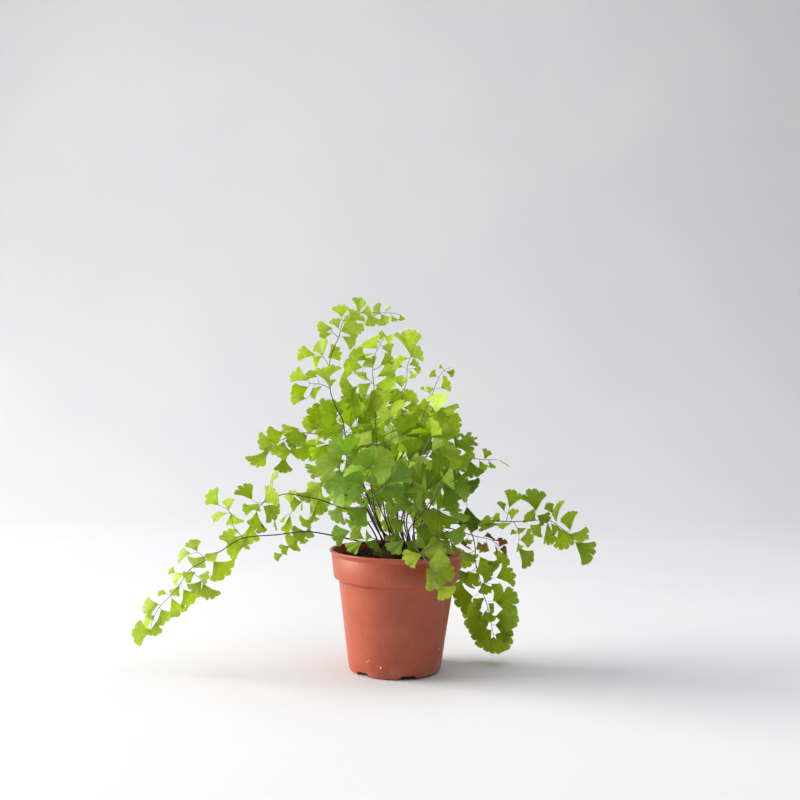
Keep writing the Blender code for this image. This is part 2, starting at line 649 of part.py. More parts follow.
def place_leaf(branches, row, rooms, index, frond, listed):
    """The leaflet as near to its listed place as its neighbours allow, or None."""
    branch, join, base = attach_leaf(branches, row)
    heading, size = row[2:4]
    roll = (row[4] if len(row) > 4 else 0) + ROLL_SPREAD * (GOLDEN_RATIO * index % 1 - 0.5)
    tilt = LEAN_SPREAD * (GOLDEN_RATIO * GOLDEN_RATIO * index % 1 - 0.5)
    size *= 1 + base[1] / EYE_DISTANCE
    guide = upper_side(base, listed)
    for shrink in LEAF_SHRINKS:
        for lean in LEAN_TRIES:
            for twist in TWIST_TRIES:
                forward, normal = leaf_facing(heading, guide, roll + twist, tilt + lean)
                leaf = Leaf(branch, join, base, forward, normal, size * shrink, LEAF_HALF_ANGLE)
                start = min(5, 0.45 * leaf.size)
                points = leaf_samples(leaf, start)
                free = clear_of_pot(points) and rooms[0].is_free(points)
                if free and rooms[1].is_free(stalk_samples(leaf), frond):
                    return leaf
    return None


def grow():
    """Every frond's branches and leaflets, in mm, with no leaflet through anything."""
    rooms = (Room(), Room())
    fronds = dict(FRONDS)
    fronds.update({name: bushy_frond(*rule) for name, rule in BUSHY_FRONDS.items()})
    plant = {name: [frond_branches(frond), []] for name, frond in fronds.items()}
    for number, (branches, _) in enumerate(plant.values(), 1):
        for branch in branches:
            steps = np.arange(0, branch.length, SAMPLE_SPACING)
            for room in rooms:
                room.take(np.array([branch.at(s) for s in steps]), STEM_CLEARANCE, number)
    for number, (name, frond) in enumerate(fronds.items(), 1):
        branches, leaves = plant[name]
        for index, row in enumerate(frond.leaflets):
            leaf = place_leaf(branches, row, rooms, index, number, name in FRONDS)
            if leaf is None:
                continue
            fan = leaf_samples(leaf, min(2.5, 0.4 * leaf.size))
            rooms[0].take(fan, LEAF_CLEARANCE, number)
            rooms[1].take(stalk_samples(leaf), LEAF_CLEARANCE, number)
            leaves.append(leaf)
    return plant


def clear_scene():
    for obj in list(bpy.data.objects):
        bpy.data.objects.remove(obj)


def new_collection(name, hidden=False):
    collection = bpy.data.collections.new(name)
    collection.hide_render = hidden
    bpy.context.scene.collection.children.link(collection)
    return collection


def make_material(name, look):
    colour, roughness = look
    material = bpy.data.materials.new(name)
    material.use_nodes = True
    material.diffuse_color = colour
    shader = material.node_tree.nodes["Principled BSDF"]
    shader.inputs["Base Color"].default_value = colour
    shader.inputs["Roughness"].default_value = roughness
    shader.inputs["Metallic"].default_value = 0
    return material


def add_object(name, data, collection, material=None):
    obj = bpy.data.objects.new(name, data)
    collection.objects.link(obj)
    if material is not None:
        data.materials.append(material)
    return obj


def turned(name, profile, steps, collection, material):
    """A solid of revolution about Z, from a profile that runs down its outer side."""
    mesh = bpy.data.meshes.new(name)
    points = [(radius, 0, height) for radius, height in profile]
    mesh.from_pydata(points, [(i, i + 1) for i in range(len(points) - 1)], [])
    obj = add_object(name, mesh, collection, material)
    screw = obj.modifiers.new("Turn", "SCREW")
    screw.axis = "Z"
    screw.steps = steps
    screw.render_steps = steps
    screw.use_merge_vertices = True
    screw.merge_threshold = 0.00001
    screw.use_smooth_shade = True
    return obj


def around(angle):
    """The way that this angle points, in degrees from the front towards +X."""
    turn = math.radians(angle)
    return Vector((math.sin(turn), -math.cos(turn), 0))


def drain_cutters(collection):
    """One mesh that cuts the notches under the foot ring and the holes through the base."""
    tool = bmesh.new()
    for index in range(NOTCHES):
        angle = NOTCH_FIRST_ANGLE + 360 * index / NOTCHES
        middle = (NOTCH_HEIGHT - CUTTER_OVERLAP) / 2
        centre = around(angle) * NOTCH_RADIUS + Vector((0, 0, middle))
        size = Matrix.Diagonal((NOTCH_WIDTH, CUTTER_LENGTH, NOTCH_HEIGHT + CUTTER_OVERLAP, 1))
        turn = Matrix.Rotation(math.radians(angle), 4, "Z")
        notch = bmesh.ops.create_cube(tool, size=1, matrix=Matrix.Translation(centre) @ turn @ size)
        for vertex in notch["verts"]:
            if vertex.co.z > 0:
                side = turn @ Vector((1, 0, 0))
                vertex.co -= side * NOTCH_TAPER * (vertex.co - centre).dot(side)
        hole_at = around(angle + 180 / NOTCHES) * DRAIN_HOLE_CIRCLE
        bmesh.ops.create_cone(
            tool, cap_ends=True, segments=12, radius1=DRAIN_HOLE_RADIUS, radius2=DRAIN_HOLE_RADIUS,
            depth=CUTTER_LENGTH, matrix=Matrix.Translation(hole_at + Vector((0, 0, 0.0035))),
        )
    mesh = bpy.data.meshes.new("drain_cutters")
    tool.to_mesh(mesh)
    tool.free()
    cutter = add_object("drain_cutters", mesh, collection)
    cutter.hide_render = True
    cutter.display_type = "WIRE"
    return cutter


def pot_outside():
    """The pot's outer profile, from the lip down to the foot ring."""
    rounding = [math.radians(angle) for angle in (0, 45, 90)]
    foot = [
        (FOOT_RADIUS - FOOT_ROUNDING * (1 - math.cos(a)), FOOT_ROUNDING * (1 - math.sin(a)))
        for a in rounding
    ]
    return [
        (LIP_RADIUS - 0.0006, POT_HEIGHT),
        (LIP_RADIUS, POT_HEIGHT - 0.0006),
        (LIP_RADIUS, POT_HEIGHT - LIP_DEPTH),
        (BAND_TOP_RADIUS, POT_HEIGHT - LIP_DEPTH - 0.0005),
        (BAND_FOOT_RADIUS, BAND_FOOT_HEIGHT),
        (BAND_FOOT_RADIUS - 0.0011, BAND_FOOT_HEIGHT - 0.0014),
        (SHOULDER_RADIUS, SHOULDER_HEIGHT),
        *foot,
    ]


def pot_inside():
    """The pot's inner profile, from the middle of its floor up to the lip."""
    floor = PLATE_LIFT + POT_WALL
    slope = (SHOULDER_RADIUS - FOOT_RADIUS) / SHOULDER_HEIGHT
    return [
        (0, POT_WALL),
        (FOOT_DISC_RADIUS - 0.0014, POT_WALL),
        (FOOT_DISC_RADIUS - 0.0002, floor),
        (FOOT_RADIUS + slope * floor - POT_WALL, floor),
        (SHOULDER_RADIUS - POT_WALL, SHOULDER_HEIGHT + 0.0008),
        (BAND_FOOT_RADIUS - POT_WALL, BAND_FOOT_HEIGHT + 0.0006),
        (BAND_TOP_RADIUS - POT_WALL, POT_HEIGHT - 0.0005),
        (BAND_TOP_RADIUS - POT_WALL + 0.0005, POT_HEIGHT),
    ]


def make_pot(parts, tools):
    underside = [
        (FOOT_RING_INNER_RADIUS, 0),
        (FOOT_RING_INNER_RADIUS - 0.0005, PLATE_LIFT),
        (FOOT_DISC_RADIUS + 0.0012, PLATE_LIFT),
        (FOOT_DISC_RADIUS, 0),
        (0, 0),
    ]
    plastic = make_material("terracotta_plastic", TERRACOTTA)
    profile = pot_inside() + pot_outside() + underside
    pot = turned("pot", profile, POT_STEPS, parts, plastic)
    drain = pot.modifiers.new("Drain", "BOOLEAN")
    drain.operation = "DIFFERENCE"
    drain.solver = "EXACT"
    drain.object = drain_cutters(tools)


def make_soil(parts):
    inside = pot_inside()
    wall = [(radius - SOIL_GAP, height + SOIL_GAP) for radius, height in inside[1:6]]
    low, high = wall[-1], (inside[6][0] - SOIL_GAP, inside[6][1])
    share = (SOIL_EDGE_HEIGHT - low[1]) / (high[1] - low[1])
    edge = low[0] + share * (high[0] - low[0])
    profile = [
        (0, SOIL_TOP_HEIGHT),
        (CROWN_RADIUS + 0.001, SOIL_TOP_HEIGHT),
        (0.036, SOIL_TOP_HEIGHT - 0.0006),
        (edge, SOIL_EDGE_HEIGHT),
        *reversed(wall),
        (0, inside[0][1] + SOIL_GAP),
    ]
    turned("potting_soil", profile, SOIL_STEPS, parts, make_material("peat", PEAT))


def make_crown(parts):
    """The short creeping rhizome: a low, knobbly dome on the soil."""
    base = SOIL_TOP_HEIGHT + TOUCHING_GAP
    form = bmesh.new()
    bmesh.ops.create_icosphere(form, subdivisions=3, radius=CROWN_RADIUS)
    everything = form.verts[:] + form.edges[:] + form.faces[:]
    bmesh.ops.bisect_plane(
        form, geom=everything, dist=1e-6, plane_co=(0, 0, 0), plane_no=(0, 0, 1), clear_inner=True
    )
    rim = [edge for edge in form.edges if edge.is_boundary]
    bmesh.ops.contextual_create(form, geom=rim)
    for vertex in form.verts:
        if vertex.co.z > 1e-5:
            x, y = vertex.co.x / MM, vertex.co.y / MM
            vertex.co.z = crown_surface(x, y) * MM - base
        else:
            vertex.co.z = 0
    mesh = bpy.data.meshes.new("rhizome")
    form.to_mesh(mesh)
    form.free()
    crown = add_object("rhizome", mesh, parts, make_material("rhizome_brown", CROWN_BROWN))
    crown.location.z = base


def make_stipe(name, stem, end, parts, material):
    """The bare lower stem, as a wire from the crown to the frond's first leaflet."""
    count = max(int(end / STIPE_STEP) + 1, 3)
    stations = np.linspace(0, end, count)
    curve = bpy.data.curves.new(name, "CURVE")
    curve.dimensions = "3D"
    curve.bevel_depth = STIPE_RADIUS * MM
    curve.bevel_resolution = 1
    curve.use_fill_caps = True
    spline = curve.splines.new("POLY")
    spline.points.add(count - 1)
    for point, station in zip(spline.points, stations):
        point.co = (*(stem.at(station) * MM), 1)
    add_object(name, curve, parts, material)


class Sheet:
    """A thin surface grown strip by strip, with every face turned the same way."""

    def __init__(self):
        self.form = bmesh.new()

    def corner(self, place):
        return self.form.verts.new(Vector(place) * MM)

    def face(self, *corners):
        self.form.faces.new(corners)

    def grow_leaf(self, leaf, left, right, branch, join):
        """A fan that starts at the edge from left to right, on a stalk if it stands off."""
        edge = np.array(right.co - left.co)
        across = np.cross(leaf.normal, leaf.heading)
        if edge @ across < 0:
            across = -across
        stalk_from = branch.at(join)
        base = leaf.base
        if np.linalg.norm(base - branch.at(branch.nearest(base)[0])) > SHORTEST_STALK:
            near_left = self.corner(base - NODE_HALF_LENGTH * across)
            near_right = self.corner(base + NODE_HALF_LENGTH * across)
            self.face(left, right, near_right, near_left)
            left, right = near_left, near_right
        else:
            base = stalk_from
        margin = []
        for share, reach in LEAF_OUTLINE:
            angle = math.radians(leaf.half_angle * share)
            out = math.cos(angle) * leaf.heading + math.sin(angle) * across
            margin.append(self.corner(base + reach * leaf.size * out))
        self.face(left, right, *margin)

    def grow_branch(self, branch, start, left=None, right=None):
        """A strip along the branch, with whatever leaves it growing from its side edges."""
        side = None if left is None else unit(np.array(right.co - left.co))
        leaving = spaced_joins(branch, start)
        crowning = leaving.pop()[1] if crowned(branch, leaving) else None
        for join, what in leaving:
            ahead = branch.tangent(join)
            out = what.base - branch.at(join) if isinstance(what, Leaf) else what.tangent(0)
            if isinstance(what, Leaf) and np.linalg.norm(out) < SHORTEST_STALK:
                out = what.heading
            out = unit(out - (out @ ahead) * ahead)
            previous = side if side is not None else out
            side = out if out @ previous >= 0 else -out
            half = RACHIS_WIDTH / 2 * side
            if left is None:
                here = branch.at(start)
                left, right = self.corner(here - half), self.corner(here + half)
            near = branch.at(join - NODE_HALF_LENGTH)
            far = branch.at(join + NODE_HALF_LENGTH)
            for station in (near, far):
                next_left, next_right = self.corner(station - half), self.corner(station + half)
                self.face(left, right, next_right, next_left)
                before = (left, right)
                left, right = next_left, next_right
            edge = (right, before[1]) if out @ side > 0 else (before[0], left)
            if isinstance(what, Leaf):
                self.grow_leaf(what, *edge, branch, join)
            else:
                self.grow_branch(what, 0, *edge)
        if crowning is not None:
            across = np.cross(crowning.normal, crowning.heading)
            if side is None:
                side = across
            side = across if across @ side >= 0 else -across
        if side is None:
            return
        end = branch.at(branch.length)
        half = TIP_TAPER * RACHIS_WIDTH / 2 * side
        next_left, next_right = self.corner(end - half), self.corner(end + half)
        if left is None:
            here = branch.at(start)
            left, right = self.corner(here - half), self.corner(here + half)
        self.face(left, right, next_right, next_left)
        if crowning is not None:
            self.grow_leaf(crowning, next_left, next_right, branch, branch.length)


def crowned(branch, leaving):
    """Whether the last thing to leave the branch is a leaflet that goes on from its tip."""
    if not leaving or not isinstance(leaving[-1][1], Leaf):
        return False
    join, leaf = leaving[-1]
    along = leaf.heading @ branch.tangent(branch.length)
    return join > branch.length - CROWNING_REACH and along > CROWNING_ALIGNMENT


def spaced_joins(branch, start):
    """What leaves the branch, in order, each on a short stretch of its own."""
    room = 2 * NODE_HALF_LENGTH + 0.3
    joins = sorted(branch.joins, key=lambda item: item[0])
    top = branch.length - 1
    step = min(room, (top - start) / (len(joins) + 1))
    places = []
    for index, (join, _) in enumerate(joins):
        low = (places[-1] if places else start) + step
        high = top - step * (len(joins) - 1 - index)
        places.append(min(max(join, low), high))
    return list(zip(places, (what for _, what in joins)))


def make_blade(name, stem, start, parts, material):
    """The leafy part of a frond: its rachis, side branches and leaflets in one thin piece."""
    sheet = Sheet()
    sheet.grow_branch(stem, start)
    mesh = bpy.data.meshes.new(name)
    sheet.form.to_mesh(mesh)
    sheet.form.free()
    blade = add_object(name, mesh, parts, material)
    thicken = blade.modifiers.new("Thickness", "SOLIDIFY")
    thicken.thickness = BLADE_THICKNESS * MM
    thicken.offset = 0


def make_frond(name, branches, leaves, parts, stem_black, leaf_green):
    for leaf in leaves:
        leaf.branch.joins.append((leaf.join, leaf))
    stem = branches[0]
    first = min(join for join, _ in stem.joins)
    split = max(first - STIPE_END_MARGIN, SHORTEST_STIPE)
    gap = TOUCHING_GAP / MM
    make_stipe(name + "_stipe", stem, split - gap / 2, parts, stem_black)
    make_blade(name + "_blade", stem, split + gap / 2, parts, leaf_green)


def main():
    clear_scene()
    parts = new_collection("potted_fern")
    tools = new_collection("cutters", hidden=True)
    make_pot(parts, tools)
    make_soil(parts)
    make_crown(parts)
    stem_black = make_material("stem_black", STEM_BLACK)
    leaf_green = make_material("leaf_green", LEAF_GREEN)
    withered = make_material("withered_brown", WITHERED_BROWN)
    for name, (branches, leaves) in grow().items():
        green = withered if name == "withered" else leaf_green
        make_frond(name, branches, leaves, parts, stem_black, green)


main()
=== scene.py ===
"""A maidenhair fern in a small terracotta-coloured nursery pot, finished around its CAD model.

The pot stands on z = 0 with its axis on Z, and its front faces -Y. Blender's units are metres.
The plant is set out in millimetres, as in the CAD, and every leaflet is then modelled lobe by lobe.
"""

import collections
import itertools
import math

import bmesh
import bpy
import numpy as np
from mathutils import Matrix, Vector


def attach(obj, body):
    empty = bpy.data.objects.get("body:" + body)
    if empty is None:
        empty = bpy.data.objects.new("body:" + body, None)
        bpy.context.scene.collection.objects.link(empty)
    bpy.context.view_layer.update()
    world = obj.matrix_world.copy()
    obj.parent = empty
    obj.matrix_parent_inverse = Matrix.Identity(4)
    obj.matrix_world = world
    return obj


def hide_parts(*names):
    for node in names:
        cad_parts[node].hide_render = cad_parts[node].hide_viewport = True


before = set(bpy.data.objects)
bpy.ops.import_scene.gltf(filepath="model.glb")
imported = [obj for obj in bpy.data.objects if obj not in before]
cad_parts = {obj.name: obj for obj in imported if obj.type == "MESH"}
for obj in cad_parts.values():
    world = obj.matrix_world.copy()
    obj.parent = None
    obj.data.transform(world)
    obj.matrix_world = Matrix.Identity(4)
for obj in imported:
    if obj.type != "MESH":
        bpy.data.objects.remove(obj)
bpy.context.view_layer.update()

MM = 0.001

# Pot, in metres
POT_HEIGHT = 0.0925
LIP_RADIUS = 0.0525
LIP_DEPTH = 0.0018
BAND_TOP_RADIUS = 0.05125
BAND_FOOT_RADIUS = 0.0488
BAND_FOOT_HEIGHT = 0.0713
SHOULDER_RADIUS = 0.04485
SHOULDER_HEIGHT = 0.0686
FOOT_RADIUS = 0.0356
FOOT_ROUNDING = 0.0015
POT_WALL = 0.0012
FOOT_RING_INNER_RADIUS = 0.0335
FOOT_DISC_RADIUS = 0.014
PLATE_LIFT = 0.003
NOTCHES = 6
NOTCH_FIRST_ANGLE = 17
NOTCH_WIDTH = 0.012
NOTCH_HEIGHT = 0.0026
DRAIN_HOLE_RADIUS = 0.004
DRAIN_HOLE_CIRCLE = 0.0245

# Potting soil and the crown that the stems grow from, in metres
SOIL_GAP = 0.0004
SOIL_EDGE_HEIGHT = 0.0862
SOIL_TOP_HEIGHT = 0.0882
CROWN_RADIUS = 0.0195
CROWN_HEIGHT = 0.0065
TOUCHING_GAP = 0.0003

# Plant, in millimetres
EYE_DISTANCE = 780
EYE_HEIGHT = 201.5
LEAF_HALF_ANGLE = 50
GOLDEN_RATIO = 1.618034
ROLL_SPREAD = 40
LEAN_SPREAD = 36
PINNA_SPACING = 12.5
PINNA_ANGLE = 62
PINNA_RISE = 0.45
PINNA_DROOP = 0.12
LEAFLET_ANGLE = 58
TIP_LEAFLET_ANGLES = (-45, 0, 45)
STEM_FOOT_LIFT = 1.0
STEM_FOOT_SPREAD = 0.12
STEM_FOOT_RISE = 5.0
KNOB_HEIGHT = 0.8
KNOB_TURNS = (0.55, 0.6)
STEM_CLEARANCE = 2.2
LEAF_CLEARANCE = 2.4
SAMPLE_SPACING = 1.1
LEAF_SHRINKS = (1, 0.85, 0.7)
LEAN_TRIES = (0, 14, -14, 28, -28, 42, -42)
TWIST_TRIES = (0, 18, -18, 36, -36)
RIM_CLEARANCE = 1.5
SIDE_CLEARANCE = 1.8
FLOOR_CLEARANCE = 1.2
OPEN_SOIL_RADIUS = 49
OPEN_SOIL_HEIGHT = 91.5
FACING_FRONT = (0, -0.9, 0.44)
FACING_BACK = (0, 0.9, 0.44)

# Finer forms of the pot, in metres
POT_TURN_STEPS = 240
STACKING_LINE_DEPTH = 0.0042
NOTCH_SLOPE = 0.0016
DRAIN_CUTTER_DEPTH = 0.008
DRAIN_CUTTER_HEIGHT = 0.0035

# Finer forms of the soil and the rhizome. A splash is (angle from the front, height, size), and
# sizes are in millimetres.
SOIL_TURN_STEPS = 150
SOIL_RINGS = 44
CRUMBS = 620
CRUMBS_FOR_A_PERLITE_GRAIN = 19
FIBRES = 46
FIBRE_RADIUS = 0.14
RHIZOME_TURN_STEPS = 96
OLD_STUBS = 16
WALL_CRUMBS = 46
RIM_CRUMBS = 26
PERLITE_SPLASHES = (
    (-34, 12.4, 0.7), (-16, 9.2, 0.75), (-31, 13.6, 0.35), (-34.4, 67, 0.5), (61, 20, 0.5),
)

# Leaflets, in millimetres or as shares of a leaflet's size. A form is (fold, curl, ruffle).
LEAF_ROWS = (0, 0.32, 0.62, 0.86, 1)
LOBE_STEPS = (0, 0.05, 0.22, 0.42, 0.6, 0.8, 0.95)
LEAF_THICKNESS = 0.22
LEAF_FULLNESS = 1.08
LEAF_FOOT_WIDTH = 0.25
LOBE_ROUNDNESS = 0.28
SLIT_DEPTHS = (0.06, 0.32)
OUTER_SLIT_DEPTHS = (0.04, 0.16)
MARGIN_TEETH = (-0.04, 0.015)
MARGIN_SLANT = 0.16
MARGIN_BULGE = 0.06
SIDE_CURVE = 0.16
LIVING_FORM = ((-0.4, 0.3), (-0.4, 0.14), (0.03, 0.17))
WITHERED_FORM = ((-1.6, 1.8), (-1.3, 0.9), (0.1, 0.4))

# Stems, in millimetres
STEM_STATION = 2.5
STEM_SIDES = 8
MAIN_STEM_RADII = (0.85, 0.62, 0.38, 0.2)
SIDE_BRANCH_RADII = (0.26, 0.15)
STALK_STEPS = 6
STALK_PULL = 0.35
SHORTEST_STALK = 0.4
LEAF_STALK_RADII = (0.17, 0.13)

# Finishes: how large the thing that a pattern shows is, in millimetres. Mottling, streaks, grain
# and pores are near their real size. The plastic's haze and the backdrop's clouding are broad.
MOTTLE_SIZE = 2.38
STREAK_SIZE = 1.11
POT_CLOUD_SIZE = 22.2
POT_GRAIN_SIZE = 0.714
SCUFF_SIZE = 1.11
PAPER_CLOUD_SIZE = 333
DUST_HEIGHT = 16
PEAT_CRUMB_SIZE = 1.92
PEAT_FIBRE_SIZE = 1.43
PERLITE_PORE_SIZE = 1.11
RHIZOME_SCALE_SIZE = 1.54

# Finishes: veins for each radian of the fan, twice as many past the fork, the part of a vein's
# wave that is pale, and the leaf's shares and colours
VEINS_INNER = 11.0
VEIN_WIDTH = 0.45
VEIN_PALENESS = 0.22
LEAF_TRANSLUCENCE = 0.58
LEAF_SHADE = "#c4cfa4"
LIGHT_THROUGH = "#fffea4"
SCORCHED_EDGE = "#7a5226"
POT_DEEP = "#a94c30"
POT_PALE = "#b3573a"
SCUFFED = "#d9a48e"
DUSTY = "#c39b82"

# Stage, light and camera, in metres, watts and degrees
SWEEP_FRONT = -3.0
SWEEP_START = 0.95
SWEEP_RADIUS = 1.0
SWEEP_TOP = 4.0
SWEEP_HALF_WIDTH = 3.5
SWEEP_STRIPS = 8
STAGE_DROP = 0.0002
WINDOW_PLACE = (-3.1, -0.15, 1.25)
WINDOW_TARGET = (0.8, -2.9, 0.1)
WINDOW_SIZE = (2.6, 2.3)
WINDOW_POWER = 255.0
OVERHEAD_PLACE = (0.35, 0.1, 1.8)
OVERHEAD_TARGET = (0.25, 0.2, 0.0)
OVERHEAD_SIZE = (2.2, 1.6)
OVERHEAD_POWER = 16.0
ROOM_LIGHT = (0.1, 0.58)
VIEW_LENS = 44.9
VIEW_PITCH = 0.56
VIEW_ROLL = 1.15

